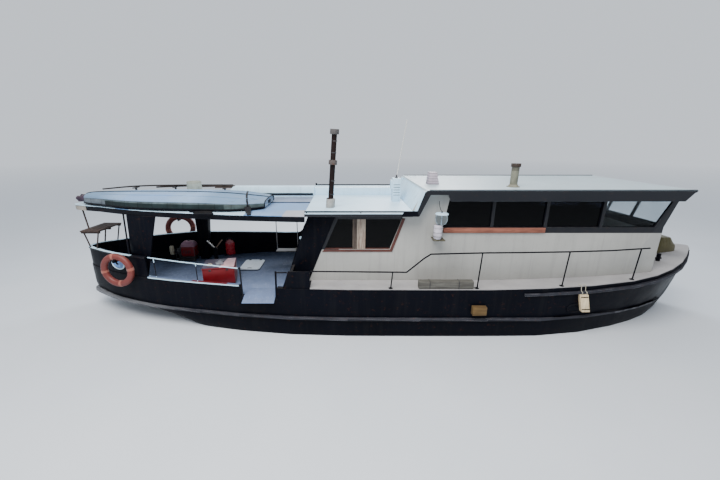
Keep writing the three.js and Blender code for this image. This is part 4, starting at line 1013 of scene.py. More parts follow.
def build_tender(c, z):
    rings = []
    for x, half, height in smooth_line(TENDER, 5):
        rings.append([(x, tender_y(x) + y, TENDER_Z + h) for y, h in tender_ring(half, height)])
    hull = Shape()
    faces = hull.rings(rings)
    around = len(rings[0])
    for i, face in enumerate(faces[: around * (len(rings) - 1)]):
        k = i % around
        if k < BAND_FACES or k >= around - 1 - BAND_FACES:
            face.material_index = 1
    paints = [tender_paint("tender_paint", c), band_and_shade_paint(c)]
    hull.piece("tender_shell", paints, slot="tender_hull", smooth=28, stands_for=("tender",))

    fine = smooth_line(TENDER, 8)

    def on_hull(x, w, h, share, rise, out=0.0):
        return (x, tender_y(x) + w * share + out * (1 if share > 0 else -1), TENDER_Z + h * rise)

    strips = Shape()
    keel = [on_hull(x, w, h, 0.0, 1.0, 0.0) for x, w, h in fine if -7.08 < x < -2.80]
    strips.tube([(x, y, v + 0.004) for x, y, v in keel], 0.016, sides=8, squash=0.7)
    for side in SIDES:
        for share, rise, radius, first, last in ((0.55, 0.912, 0.009, -6.6, -2.95), (0.965, 0.60, 0.009, -7.0, -2.83)):
            runner = [on_hull(x, w, h, side * share, rise) for x, w, h in fine if first < x < last]
            strips.tube([(x, y, v + 0.002) for x, y, v in runner], radius, sides=8, squash=0.8, index=1)
        gunwale = [on_hull(x, w, h, side * 0.99, 0.0, 0.004) for x, w, h in fine]
        strips.tube([(x, y, v + 0.017) for x, y, v in gunwale], 0.017, sides=8)
    x, w, h = TENDER[-1]
    rim = [(x + 0.004, tender_y(x) + a * 0.985, TENDER_Z + 0.004 + b * 0.97) for a, b in tender_ring(w, h)]
    strips.tube(rim, 0.012, sides=8, up=ALONG_X)
    y = tender_y(x)
    strips.block((x - 0.004, y - 0.10, TENDER_Z + 0.03), (x + 0.016, y + 0.10, TENDER_Z + 0.10), 0.004)
    strips.piece("tender_strips", [trim_paint(c), tender_paint("tender_paint", c)], slot="black_steel")

    bow = Shape()
    y = tender_y(-7.15)
    bow.turned(
        [(0.0, -0.235), (0.035, -0.225), (0.058, -0.19), (0.050, -0.13), (0.066, -0.09), (0.090, -0.02), (0.094, 0.02),
         (0.0, 0.03)], (-7.11, y, TENDER_Z + 0.105), axis=(1.0, 0.0, 0.03), sides=20,
    )
    bow.block((-7.30, y - 0.035, TENDER_Z + 0.02), (-7.14, y + 0.05, TENDER_Z + 0.075), 0.014)
    bow.tube([(-7.26, y, TENDER_Z + 0.125), (-7.21, y, TENDER_Z + 0.185), (-7.12, y, TENDER_Z + 0.180),
              (-7.08, y, TENDER_Z + 0.150)], 0.012, sides=10, up=ALONG_Y)
    plum = paint(
        "bow_fitting", (0.050, 0.032, 0.052), (0.5, 8.0, 0.25, 0.4, 0.35, 0.25), rough=(0.5, 0.75), gloss=0.2,
    )
    bow.piece("tender_bow_fitting", plum, slot="black_steel")

    strap = Shape()
    outer, inner = [], []
    for a, b in tender_ring(1.0, 1.0):
        # The strap crosses the bottom at a slant, its near end forward.
        x = -3.31 - 0.274 * (0.76 * a + 0.02)
        _, w, h = next(p for p in fine if p[0] >= x)
        y, rise = tender_y(x) + a * w, TENDER_Z + b * h
        outer.append((x, y + 0.008 * a, rise + 0.003 + 0.007 * b))
        inner.append((x, y - 0.012 * a, rise - 0.010 * b))
    strap.plate(outer + inner[::-1], (0.040, 0.0, 0.0))
    x, w, h = next(p for p in fine if p[0] > -3.10)
    foot = Vector((x + 0.01, tender_y(x) - w - 0.006, TENDER_Z + 0.062))
    toe = Vector((-2.955, -1.395, CANOPY_TOP + 0.010))
    along = (toe - foot).normalized()
    side = along.cross(Vector((0, 0, 1))).normalized()
    rows = []
    for share, half in ((0.0, 0.062), (0.45, 0.060), (0.8, 0.042), (1.0, 0.040)):
        p = foot.lerp(toe, share) - Vector((0, 0, 0.020 * math.sin(math.pi * share)))
        thick = Vector((0, 0, 0.007))
        edge = side * half
        rows.append([p - edge - thick, p + edge - thick, p + edge + thick, p - edge + thick])
    strap.rings(rows)
    strap.piece("tender_strap", trim_paint(c), slot="black_steel", smooth=20)

    chock = Shape()
    chock.block((-4.25, -1.150, CANOPY_TOP + BED), (-3.87, -1.02, CANOPY_TOP + 0.029), 0.008)
    chock.block((-5.10, -0.93, CANOPY_TOP + BED), (-4.92, -0.80, CANOPY_TOP + 0.029), 0.006)
    lean = [(-4.270, -0.960, 0.0005), (-3.870, -0.960, 0.0005), (-3.660, -1.385, 0.0005), (-4.060, -1.385, 0.0005)]
    chock.rings([[(x, y, CANOPY_TOP + h + rise) for x, y, h in lean] for rise in (0.0, 0.026)])
    chock.piece("tender_chocks", trim_paint(c), slot="black_steel")


def build_canopy(c, z):
    edge = paint(
        "canopy_edge", c.black, (0.35, 1.2, 0.3, 0.16, 0.25, 0.05), worn=(0.05, 0.05, 0.052), rough=(0.34, 0.60),
        gloss=0.10, zones=(((-7.6, -1.6, 2.43), (-7.0, 1.6, 2.60), (0.33, 0.30, 0.26)),),
    )
    dress("canopy_frame", edge)
    # Pale for the stern end, and for the near strip, where it is a painted sky reflection.
    pale = shade(c.white, 1.05)
    sheet = paint(
        "canopy_paint", c.canopy, (0.22, 1.8, 0.0, 0.08, 0.4, 0.22), seams=(("X", 0.92, 0.006, 0.35),),
        rough=(0.30, 0.6), bump=0.35,
        zones=(
            ((-7.6, 0.03, 2.4), (-1.8, 1.6, 2.7), (0.19, 0.23, 0.33)),
            # Painted sky reflection: the pale near strip.
            ((-7.6, -1.6, 2.4), (-3.08, -0.80, 2.7), pale),
            ((-7.6, -1.6, 2.4), (-6.1, 1.6, 2.7), pale),
            ((-2.30, -1.6, 2.4), (-1.8, -0.90, 2.7), (0.36, 0.36, 0.40)),
            ((-5.5, -0.032, 2.5645), (-1.8, 0.032, 2.7), c.black),
        ),
    )
    dress("canopy_sheet", sheet)
    dress("tender_cradle", trim_paint(c), 0.004)
    shelf = timber("shelf_wood", (0.085, 0.055, 0.045), (0.020, 0.014, 0.013), stretch=(1.0, 0.06, 1.0), moss=0.2)
    dress("stern_shelf", shelf, 0.004)

    near = Shape()
    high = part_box("roof_box")[1]
    near.block((-4.13, 0.792, CANOPY_TOP + 0.060), (CANOPY_END - 0.03, 0.8195, CANOPY_TOP + 0.108), 0.004)
    near.block((CANOPY_END + 0.02, high.y - 0.03, 2.8055), (0.30, high.y, 2.832), 0.004)
    near.block((CANOPY_END - 0.010, high.y - 0.035, 2.8055), (CANOPY_END + 0.035, high.y, 2.865), 0.004)
    near.piece("roof_box_trim", trim_paint(c), slot="black_steel")
    box_paint = paint(
        "roof_box_paint", shade(c.white, 1.05), (0.08, 2.0, 0.25, 0.10, 0.3, 0.10), seams=(("X", 1.1, 0.005, 0.3),),
        rough=(0.35, 0.55),
    )
    dress("roof_box", box_paint, 0.006)
    plastic = paint(
        "bucket_plastic", (0.27, 0.31, 0.28), (0.3, 5.0, 0.5, 0.05, 0.2, 0.15), rough=(0.5, 0.7),
        zones=(((-5.3, 0.5, 2.93), (-4.6, 1.2, 3.0), (0.24, 0.26, 0.22)),),
    )
    bucket = Shape()
    b_low, b_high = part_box("roof_bucket")
    middle = (b_low + b_high) / 2
    r0, tall = (b_high.x - b_low.x) / 2, b_high.z - b_low.z
    r1 = r0 * 0.915
    profile = [
        (0.0, 0.0), (r0 - 0.004, 0.0), (r0, 0.006), (r0, 0.028), (r0 - 0.008, 0.034),
        (r0 * 0.972, 0.075), (r0 * 0.985, 0.080), (r0 * 0.967, 0.09),
        (r1 + 0.004, tall - 0.018), (r1 - 0.006, tall - 0.003), (r1 - 0.02, tall), (r1 - 0.026, tall - 0.012),
        (0.0, tall - 0.012),
    ]
    bucket.turned(profile, (middle.x, middle.y, b_low.z), sides=44)
    bucket.piece("bucket", plastic, slot="cream_paint", stands_for=("roof_bucket",))

    poles = Shape()
    runs = [
        ((-7.42, 0.92, 2.764), (-6.60, 1.06, 2.822), (-5.50, 1.14, 2.838), (-4.06, 1.16, 2.842), 0.020, 0),
        ((-6.10, 1.10, 2.790), (-5.60, 1.16, 2.806), (-5.00, 1.20, 2.822), (-4.35, 1.20, 2.838), 0.022, 0),
        ((-5.10, 1.16, 2.798), (-4.80, 1.17, 2.806), (-4.40, 1.17, 2.812), (-4.02, 1.17, 2.815), 0.026, 1),
    ]
    for a, b, d, e, r, index in runs:
        line = smooth_line([a, b, d, e], 6)
        sizes = [r * (0.75 + 0.25 * math.sin(0.6 + 2.4 * i / len(line))) for i in range(len(line))]
        poles.tube(line, sizes, sides=10, index=index)
    poles.block((-4.55, 1.12, 2.758), (-4.03, 1.26, 2.788), 0.006, index=1)
    black_wood = timber("black_wood", (0.045, 0.035, 0.032), (0.014, 0.012, 0.013), moss=0.15)
    worn_wood = timber("worn_wood", (0.10, 0.075, 0.065), (0.020, 0.016, 0.016), moss=0.25)
    poles.piece("roof_poles", [black_wood, worn_wood], slot="grey_wood")
    rests = Shape()
    for x, y, top in ((-6.60, 1.02, 2.778), (-5.60, 1.12, 2.782), (-4.30, 1.18, 2.735)):
        rests.block((x - 0.02, y - 0.02, CANOPY_TOP + BED), (x + 0.02, y + 0.02, top), 0.003)
        rests.block((x - 0.030, y - 0.12, top - 0.001), (x + 0.030, y + 0.12, top + 0.024), 0.004)
        rests.block((x - 0.06, y - 0.06, CANOPY_TOP + BED), (x + 0.06, y + 0.06, CANOPY_TOP + 0.010), 0.002)
    rests.piece("pole_rests", dark_steel(), slot="black_steel")


# ---- Lifebuoys -----------------------------------------------------------------------------------

# Centre and heading of each lifebuoy.
BUOYS = {"lifebuoy_quarter": ((-6.036, -1.054, 1.262), -0.12), "lifebuoy_port": ((-5.612, 1.108, 1.660), 0.30)}
BUOY_RING = 0.314
BUOY_BODY = 0.072


def build_lifebuoys(c, z):
    shell = paint(
        "lifebuoy_shell", c.buoy, (0.22, 7.0, 0.25, 0.0, 0.0, 0.15), rough=(0.35, 0.6), bump=0.3,
        worn=(0.5, 0.2, 0.15), gloss=0.35,
    )
    band_cloth = canvas("lifebuoy_band", (0.33, 0.105, 0.075), 1600.0, 0.4)
    for node, (centre, heading) in BUOYS.items():
        turn = Matrix.Rotation(heading, 3, "Z")

        def spot(angle, radius, offset):
            flat = Vector((radius * math.cos(angle), offset, radius * math.sin(angle)))
            return Vector(centre) + turn @ flat

        def section(angle, grow):
            out = []
            for a, b in circle(1.0, 20):
                reach = (BUOY_BODY + grow) * (1.0 - 0.03 * (a * a - b * b) ** 2)
                out.append(spot(angle, BUOY_RING + reach * a, reach * 0.94 * b))
            return out

        ring = Shape()
        count = 64
        ring.rings([section(2 * math.pi * i / count, 0.0) for i in range(count)], loop=True)
        ring.piece(node + "_ring", shell, slot="buoy_orange", stands_for=(node,))
        bands = Shape()
        reach = z.band / BUOY_RING / 2
        for q in range(4):
            mid = math.pi / 2 * q + 0.12
            bands.rings([section(mid + reach * t, 0.0028) for t in (-1, -0.95, -0.5, 0, 0.5, 0.95, 1)])
        bands.piece(node + "_bands", band_cloth, slot="buoy_orange")


# ---- Cockpit -------------------------------------------------------------------------------------


def build_rails(c, z):
    inner = shade(c.floor, 0.7)
    # Painted reflection: the red on the coaming's top in front of the locker.
    red = (0.12, 0.008, 0.012)
    coaming = cap_paint(
        "coaming_paint", c.white, c.white,
        zones=(
            ((-5.5, -1.9, 1.00), (-3.20, -1.0, 1.130), inner),
            # Painted reflection of the red locker.
            ((-4.34, -1.9, 1.00), (-3.52, -1.0, 1.130), red),
        ),
        whole=(
            ((-5.5, -1.9, 1.125), (-3.262, -1.0, 1.447), c.black),
            ((-3.262, -1.9, 0.70), (-3.10, -1.0, 1.60), c.black),
        ),
    )
    dress("cockpit_rail", coaming)
    dress("gate_post_fwd handrail_stbd handrail_port", trim_paint(c))
    deck = Skin("deck")
    flanges = Shape()
    profile = [(0.0145, 0.0), (0.045, 0.0), (0.045, 0.006), (0.040, 0.008), (0.022, 0.009), (0.0145, 0.022)]
    for side in SIDES:
        for x, y in ((-0.12, 1.627), (1.64, 1.629), (3.38, 1.602), (4.90, 1.470)):
            spot = deck.from_above(x, side * y)[0] + UP * BED
            flanges.turned(profile, spot, sides=20)
            flanges.bolts(spot + UP * 0.0078, 0.033, 4, 0.0065, 0.006, math.pi / 4)
    flanges.piece("rail_flanges", trim_paint(c), slot="black_steel")


# Centre and heading of the locker.
LOCKER_PLACE = ((-3.915, -0.720, 0.0), math.radians(13.0))


def build_cockpit(c, z):
    dress("cockpit_floor", floor_paint("floor_paint", c))
    swing = paint(
        "swing_paint", (0.34, 0.33, 0.32), (0.3, 6.0, 0.2, 0.3, 0.3, 0.1),
        zones=(
            ((-3.0, 0.2, 2.385), (-2.1, 0.9, 2.6), c.black),
            ((-3.0, 0.2, 1.10), (-2.1, 0.9, 1.196), (0.06, 0.055, 0.05)),
        ),
    )
    dress("swing_seat", swing, 0.003)


def build_hatch(c, z):
    """Hatch lid with its seal, hinge knuckles and handle."""
    lid_paint = paint(
        "lid_paint", (0.76, 0.84, 0.90), (0.12, 6.0, 0.0, 0.12, 0.3, 0.2), edge_radius=0.006,
        worn=(0.20, 0.19, 0.18), rough=(0.45, 0.7), bump=0.4,
    )
    low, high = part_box("hatch_lid")
    outline = rounded((low.x + 0.006, low.y + 0.006), (high.x - 0.006, high.y - 0.006), 0.075)
    lid = Shape()
    levels = ((0.0125, 0.004), (0.032, 0.0), (0.0405, 0.004), (0.0445, 0.014), (0.0415, 0.034), (0.0405, 0.040))
    lid.rings([[(a, b, low.z + h) for a, b in inset(outline, d)] for h, d in levels])
    lid.piece("hatch_cover", lid_paint, body="hatch_lid_body", slot="side_paint", stands_for=("hatch_lid",))
    seal = Shape()
    seal.rings([[(a, b, low.z + h) for a, b in inset(outline, d)] for h, d in ((0.0005, -0.004), (0.0125, -0.004))])
    for x in (low.x + 0.12, high.x - 0.12):
        seal.tube([(x - 0.03, high.y - 0.010, high.z - 0.006), (x + 0.03, high.y - 0.010, high.z - 0.006)], 0.008)
        seal.block((x - 0.03, high.y - 0.06, high.z - 0.008), (x + 0.03, high.y - 0.012, high.z), 0.002)
    handle = [(low.x + 0.21, low.y + 0.05, high.z - 0.006), (low.x + 0.21, low.y + 0.05, high.z + 0.004),
              (high.x - 0.21, low.y + 0.05, high.z + 0.004), (high.x - 0.21, low.y + 0.05, high.z - 0.006)]
    seal.tube(handle, 0.006, up=ALONG_Y)
    seal.piece("hatch_seal", trim_paint(c), body="hatch_lid_body", slot="black_steel")


def red_paint(c):
    return paint(
        "locker_red", c.red, (0.25, 3.0, 0.2, 0.15, 0.5, 0.08), edge_radius=0.006, worn=(0.50, 0.12, 0.13),
        # The darker red band at the foot is painted shade.
        rough=(0.3, 0.5), zones=(((-5.7, -1.3, 0.85), (-3.3, 1.5, 0.925), (0.07, 0.006, 0.009)),),
    )


def build_locker(c, z):
    """Locker, and the small things that lie on it."""
    top = paint(
        "locker_top", (0.06, 0.05, 0.085), (0.3, 7.0, 0.0, 0.1, 0.2, 0.1), rough=(0.3, 0.55),
        # The pink patch on the top is a painted highlight.
        zones=(((-3.83, -1.2, 1.2), (-3.3, 0.0, 1.4), c.pink),),
    )
    locker = Shape()
    locker.block((-0.337, -0.292, 0.8603), (0.337, 0.292, 1.262), 0.010)
    locker.block((-0.345, -0.300, 1.262), (0.345, 0.300, 1.298), 0.010)
    locker.block((-0.335, -0.290, 1.297), (0.335, 0.290, 1.3085), 0.004, index=1)
    for a in (-0.18, 0.18):
        locker.block((a - 0.025, -0.2995, 1.225), (a + 0.025, -0.290, 1.275), 0.003, index=2)
    locker.placed(*LOCKER_PLACE)
    locker.piece("deck_locker", [red_paint(c), top, dark_steel()], slot="red_paint", stands_for=("locker",))
    things = Shape()
    ring = [(-0.20 + a, -0.12 + b, 1.3205) for a, b in circle(0.052, 24)]
    things.tube(ring, 0.0115, sides=10, loop=True, index=1)
    things.block((-0.07, -0.16, 1.3088), (0.09, -0.03, 1.350), 0.012, turn=Matrix.Rotation(0.3, 3, "Z"))
    things.block((-0.03, 0.02, 1.3088), (0.07, 0.14, 1.338), 0.010, turn=Matrix.Rotation(-0.4, 3, "Z"))
    things.placed(*LOCKER_PLACE)
    grey_things = paint("grey_things", (0.22, 0.23, 0.27), (0.5, 14.0, 0.25, 0.1, 0.35, 0.25))
    things.piece("locker_things", [grey_things, cream_paint(c)], slot="side_paint")


def build_generator(c, z):
    """Generator: engine and tank in a frame of bars."""
    low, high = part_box("generator")
    mid_y = (low.y + high.y) / 2
    pink = paint("tank_top", (0.30, 0.15, 0.20), (0.25, 8.0, 0.1, 0.1, 0.2, 0.1), rough=(0.3, 0.5))
    motor = Shape()
    x0, x1 = high.x - 0.375, high.x - 0.004
    y0, y1 = low.y + 0.012, high.y - 0.012
    motor.block((x0, y0, 0.990), (x1, y1, 1.262), 0.035, steps=3)
    rings = []
    half, deep = (y1 - y0) / 2, (x1 - x0) / 2
    for rise, shrink in ((0.0, 0.0), (0.035, 0.004), (0.075, 0.022), (0.105, 0.055), (0.120, 0.095)):
        plan = rounded(
            ((x0 + x1) / 2 - deep + shrink, mid_y - half + shrink * 0.8),
            ((x0 + x1) / 2 + deep - shrink, mid_y + half - shrink * 0.8), 0.030,
        )
        rings.append([(a, b, 1.263 + 1.18 * rise) for a, b in plan])
    motor.rings(rings, index=1)
    motor.turned([(0.0, 0.0), (0.030, 0.0), (0.032, 0.012), (0.026, 0.022), (0.0, 0.024)],
                 ((x0 + x1) / 2, mid_y, 1.4035), sides=24, index=2)
    motor.block((x0 + 0.03, y0 + 0.02, 0.929), (x1 - 0.03, y1 - 0.02, 0.991), 0.010, index=2)
    motor.turned([(0.0, 0.0), (0.075, 0.0), (0.085, 0.015), (0.085, 0.085), (0.070, 0.10), (0.0, 0.10)],
                 (low.x + 0.022, mid_y, 1.10), axis=ALONG_X, sides=28, index=2)
    motor.block((low.x + 0.06, mid_y - 0.07, 0.929), (x0 + 0.01, mid_y + 0.07, 1.19), 0.012, index=2)
    for y in (y0 + 0.012, y1 - 0.012):
        loop = [(low.x + 0.02, y, 0.890), (low.x + 0.02, y, 1.20), (low.x + 0.05, y, 1.225),
                (high.x - 0.05, y, 1.225), (high.x - 0.015, y, 1.20), (high.x - 0.015, y, 0.890)]
        motor.tube(loop, 0.011, sides=10, index=2, up=ALONG_Y)
    for x in (low.x + 0.03, high.x - 0.03):
        motor.block((x - 0.015, y0, 0.8605), (x + 0.015, y1, 0.895), 0.004, index=2)
    motor.block((low.x + 0.02, y0, 0.892), (high.x - 0.02, y1, 0.930), 0.006, index=2)
    for k in range(5):
        x = x0 + 0.06 + 0.045 * k
        motor.block((x, y0 - 0.003, 1.08), (x + 0.018, y0 + 0.004, 1.17), 0.002, index=2)
    motor.piece("generator_set", [red_paint(c), pink, dark_steel()], slot="red_paint", stands_for=("generator",))


def build_capstan(c, z):
    """Hand capstan with two handles."""
    x, y = -4.42, 0.38
    post = Shape()
    post.turned(
        [(0.0, 0.0), (0.082, 0.0), (0.084, 0.012), (0.056, 0.018), (0.050, 0.03), (0.050, 0.40), (0.056, 0.41),
         (0.056, 0.44), (0.044, 0.455), (0.030, 0.475), (0.0, 0.480)], (x, y, FLOOR_TOP + BED), sides=28,
    )
    post.bolts((x, y, FLOOR_TOP + 0.0125), 0.070, 6, 0.009, 0.007)
    for end, index in (((-0.196, 0.0, 0.644), 1), ((0.196, 0.0, 0.668), 2)):
        start = Vector((x, y, FLOOR_TOP + 0.435))
        tip = Vector((x, y, FLOOR_TOP)) + Vector(end)
        line = [start.lerp(tip, t) for t in (0.0, 0.25, 0.5, 0.8, 1.0)]
        post.tube(line, [0.016, 0.015, 0.017, 0.019, 0.016], index=index, up=ALONG_Y)
    handle_wood = timber("handle_wood", (0.30, 0.20, 0.14), (0.14, 0.09, 0.06), rough=(0.5, 0.8))
    pale = bare_metal("pale_metal", (0.55, 0.53, 0.50), (0.30, 0.29, 0.28), (0.35, 0.55), 0.3)
    post.piece("capstan_post", [trim_paint(c), pale, handle_wood], slot="black_steel", stands_for=("capstan",))


def build_cans(c, z):
    """Canister on the far side, and the pale can beside it."""
    can = Shape()
    base = Vector((-4.33, 1.225, FLOOR_TOP + BED))
    can.turned(
        [(0.0, 0.0), (0.105, 0.0), (0.122, 0.010), (0.127, 0.035), (0.127, 0.300), (0.118, 0.350), (0.090, 0.395),
         (0.045, 0.415), (0.040, 0.435), (0.0, 0.435)], base, sides=40,
    )
    can.turned([(0.0, 0.0), (0.034, 0.0), (0.036, 0.010), (0.036, 0.026), (0.0, 0.030)],
               base + Vector((0, 0, 0.434)), sides=20, index=1)
    loop = [(-0.10, 0.370), (-0.098, 0.43), (-0.05, 0.478), (0.05, 0.478), (0.098, 0.43), (0.10, 0.370)]
    can.tube([base + Vector((a, 0.0, h)) for a, h in loop], 0.007, sides=8, index=1, up=ALONG_Y)
    for rise in (0.10, 0.20, 0.30):
        can.hoop(base + UP * rise, 0.120, 0.1295, 0.006, 0.003, sides=40)
    can_red = paint(
        "can_red", (0.52, 0.020, 0.034), (0.2, 9.0, 0.15, 0.1, 0.3, 0.3), edge_radius=0.004,
        worn=(0.70, 0.35, 0.36), rough=(0.18, 0.35), gloss=0.5,
        # The pinkish zone at the top is a painted highlight.
        zones=(((-4.5, 1.0, 1.20), (-4.1, 1.4, 1.30), (0.45, 0.10, 0.12)),),
    )
    can.piece("red_canister", [can_red, dark_steel()], slot="red_paint")
    small = Shape()
    small.turned(
        [(0.0, 0.0), (0.052, 0.0), (0.056, 0.008), (0.056, 0.215), (0.050, 0.235), (0.020, 0.245), (0.0, 0.246)],
        (-5.80, 0.84, FLOOR_TOP + 0.1210), sides=28,
    )
    small.block((-5.90, 0.74, FLOOR_TOP + BED), (-5.70, 0.94, FLOOR_TOP + 0.1205), 0.012, index=1)
    small.piece("pale_can", [cream_paint(c), trim_paint(c)], slot="cream_paint")


def build_wing(c, z):
    """Curved plate at the forward end of the far bulwark."""
    wing = Shape()
    outline = [(-2.42, 1.4405), (-2.340, 1.475), (-2.265, 1.535), (-2.215, 1.590), (-2.192, 1.639), (-2.183, 1.742),
               (-2.145, 1.742), (-2.145, 1.4405)]
    wing.plate([(x, 1.440, h) for x, h in outline], (0.0, 0.010, 0.0))
    wing.piece("wing_plate", trim_paint(c), slot="black_steel", smooth=40)


def build_door_fittings(c, z):
    """Handle on the door, and the small lamp on the bulkhead."""
    skin = Skin("cabin_door")
    hit, normal = skin.hit((-4.0, -0.22, 1.50), ALONG_X)
    seat = hit + normal * 0.0004
    grip = seat + normal * 0.040
    fittings = Shape()
    fittings.turned([(0.0, 0.0), (0.030, 0.0), (0.030, 0.006), (0.014, 0.010), (0.012, 0.045), (0.0, 0.046)], seat,
                    axis=normal, sides=24)
    lever = [grip + Vector((0.0, y, h)) for y, h in ((0.0, 0.0), (-0.03, 0.0), (-0.06, -0.004), (-0.12, -0.006))]
    fittings.tube(lever, [0.010, 0.010, 0.009, 0.008])
    fittings.turned([(0.0, 0.0), (0.016, 0.0), (0.014, 0.005), (0.0, 0.006)], seat + Vector((-0.033, 0.0, -0.10)),
                    axis=normal, sides=16)
    brass = bare_metal("handle_metal", (0.45, 0.40, 0.30), (0.20, 0.17, 0.12))
    fittings.piece("door_handle", brass, body="cabin_door_body", slot="pipe_steel")
    hit, normal = Skin("bulkhead_aft").hit((-4.0, -1.12, 2.02), ALONG_X)
    lamp = Shape()
    lamp.turned([(0.0, 0.0), (0.034, 0.0), (0.036, 0.012), (0.030, 0.028), (0.016, 0.038), (0.0, 0.041)],
                hit + normal * 0.0004, axis=normal, sides=24)
    lamp.piece("bulkhead_lamp", white_paint(c), slot="white_paint")


# ---- Roof gear -----------------------------------------------------------------------------------


def build_roof_gear(c, z):
    pipe = paint(
        "stove_pipe_paint", (0.014, 0.009, 0.009), (0.4, 6.0, 0.5, 0.5, 0.4, 0.0), worn=(0.05, 0.035, 0.03),
        rough=(0.5, 0.8), gloss=0.06,
        zones=(
            ((-2.0, -1.4, 2.60), (-0.8, -0.4, 2.806), (0.34, 0.33, 0.31)),
            ((-2.0, -1.4, 3.505), (-0.8, -0.4, 3.606), (0.105, 0.09, 0.085)),
            ((-2.0, -1.4, 4.10), (-0.8, -0.4, 4.30), (0.085, 0.08, 0.08)),
        ),
    )
    dress("stove_pipe", pipe, 0.002, angle=40.0)
    rings = Shape()
    for x, top in ((-1.338, 2.9), (-1.318, 3.18), (-1.284, 3.75), (-1.266, 3.98)):
        rings.hoop((x, -0.81, top), 0.050, 0.0585, 0.010, 0.008, (0.07, 0.0, 1.0), 28)
    rings.piece("pipe_bands", dark_steel(), slot="pipe_steel")

    dress("vent_box", white_paint(c), 0.006)
    slots = Shape()
    for k in range(z.louvres):
        top = 2.76 + 0.060 * k
        slots.block((0.075, -0.1128, top), (0.225, -0.1098, top + 0.012), 0.001)
        slots.block((0.074, -0.1180, top + 0.012), (0.226, -0.1090, top + 0.017), 0.001, index=1,
                    turn=Matrix.Rotation(-0.3, 3, "X"))
    slots.piece("vent_louvres", [trim_paint(c), white_paint(c)], slot="black_steel")
    dress("antenna", paint("aerial_paint", (0.62, 0.60, 0.56), (0.2, 1.4, 0.25, 0.1, 0.35, 0.25)))
    foot = Shape()
    foot.turned([(0.0095, 0.0), (0.045, 0.0), (0.042, 0.012), (0.020, 0.018), (0.016, 0.06), (0.0095, 0.075)],
                (0.150, 0.0, 3.1505), sides=20)
    foot.piece("aerial_foot", dark_steel(), slot="pipe_steel")

    trunk = paint(
        "trunk_paint", (0.44, 0.38, 0.44), (0.25, 6.0, 0.4, 0.25, 0.4, 0.15), edge_radius=0.006,
        worn=(0.25, 0.16, 0.13), rough=(0.5, 0.75), seams=(("Z", 0.055, 0.012, 0.55),),
    )
    dress("roof_hatch", trunk, 0.006)
    cowl = paint(
        "cowl_paint", (0.20, 0.195, 0.145), (0.4, 6.0, 0.6, 0.35, 0.4, 0.0), worn=(0.15, 0.09, 0.05),
        rough=(0.5, 0.75),
        zones=(
            ((2.2, -1.2, 3.468), (2.7, -0.6, 3.6), (0.035, 0.022, 0.016)),
            ((2.2, -1.2, 3.39), (2.7, -0.6, 3.469), (0.11, 0.105, 0.08)),
        ),
    )
    dress("roof_vent", cowl, 0.004)
    collar = Shape()
    collar.turned([(0.0755, 0.0), (0.13, 0.0), (0.13, 0.008), (0.10, 0.014), (0.082, 0.05), (0.0755, 0.052)],
                  (2.45, -0.90, FWD_ROOF_TOP + BED))
    collar.bolts((2.45, -0.90, FWD_ROOF_TOP + 0.009), 0.115, 6, 0.009, 0.007)
    collar.piece("cowl_collar", cowl, slot="cream_paint")


def build_lantern(c, z):
    """Glass lantern that hangs on a rod from the forward roof, over a small bracket on the wall."""
    x, y = 0.872, -1.392
    lantern = Shape()
    lantern.tube([(0.80, y, 2.848), (0.815, y, 2.75), (0.845, y, 2.67), (x, y, 2.640)], 0.006, sides=8, up=ALONG_Y)
    lantern.turned([(0.0, 0.0), (0.016, 0.0), (0.020, 0.010), (0.010, 0.026), (0.0, 0.028)], (x, y, 2.618), sides=16)
    lantern.turned(
        [(0.0, 0.0), (0.055, 0.0), (0.110, -0.008), (0.128, -0.022), (0.130, -0.034), (0.118, -0.030), (0.0, -0.012)],
        (x, y, 2.620), sides=36, index=1,
    )
    profile = [
        (0.100, 0.0), (0.118, -0.04), (0.124, -0.09), (0.117, -0.14), (0.096, -0.185), (0.062, -0.21), (0.0, -0.215),
    ]
    lantern.turned([(0.0, -0.004)] + profile, (x, y, 2.592), sides=36, index=2)
    for k in range(6):
        a = math.pi / 3 * k + 0.2
        rib = [(x + (r + 0.003) * math.cos(a), y + (r + 0.003) * math.sin(a), 2.592 + h) for r, h in profile]
        lantern.tube(rib, 0.0035, sides=6, index=1)
    # Body and base plate below the globe.
    x2 = 0.800
    lantern.turned(
        [(0.0, 0.0), (0.070, 0.0), (0.082, -0.012), (0.086, -0.05), (0.084, -0.22), (0.076, -0.275), (0.070, -0.285),
         (0.0, -0.285)], (x2 + 0.02, y, 2.368), index=3,
    )
    lantern.tube([(x, y, 2.378), (x - 0.02, y, 2.372), (x2 + 0.02, y, 2.366)], 0.012, sides=8, up=ALONG_Y)
    for drop in (0.06, 0.15, 0.23):
        lantern.hoop((x2 + 0.02, y, 2.368 - drop), 0.080, 0.0885, 0.004, 0.002)
    lantern.block((0.735, y - 0.085, 2.050), (0.965, -1.2005, 2.068), 0.004, index=4)
    lantern.block((0.780, -1.225, 1.985), (0.920, -1.2005, 2.052), 0.004, index=4)
    lantern.tube([(x2 + 0.02, y, 2.085), (x2 + 0.02, y, 2.066)], 0.045, sides=16, index=4)
    glass = window_glass("lantern_glass", -9.0, 9.0)
    lilac = paint("lantern_body", (0.55, 0.52, 0.58), (0.3, 9.0, 0.4, 0.05, 0.35, 0.25), rough=(0.25, 0.45))
    olive = paint("lantern_base", (0.060, 0.055, 0.030), (0.4, 9.0, 0.25, 0.4, 0.35, 0.25), rough=(0.5, 0.8))
    lantern.piece("hanging_lantern", [dark_steel(), white_paint(c), glass, lilac, olive], slot="white_paint")


# ---- Deck gear -----------------------------------------------------------------------------------


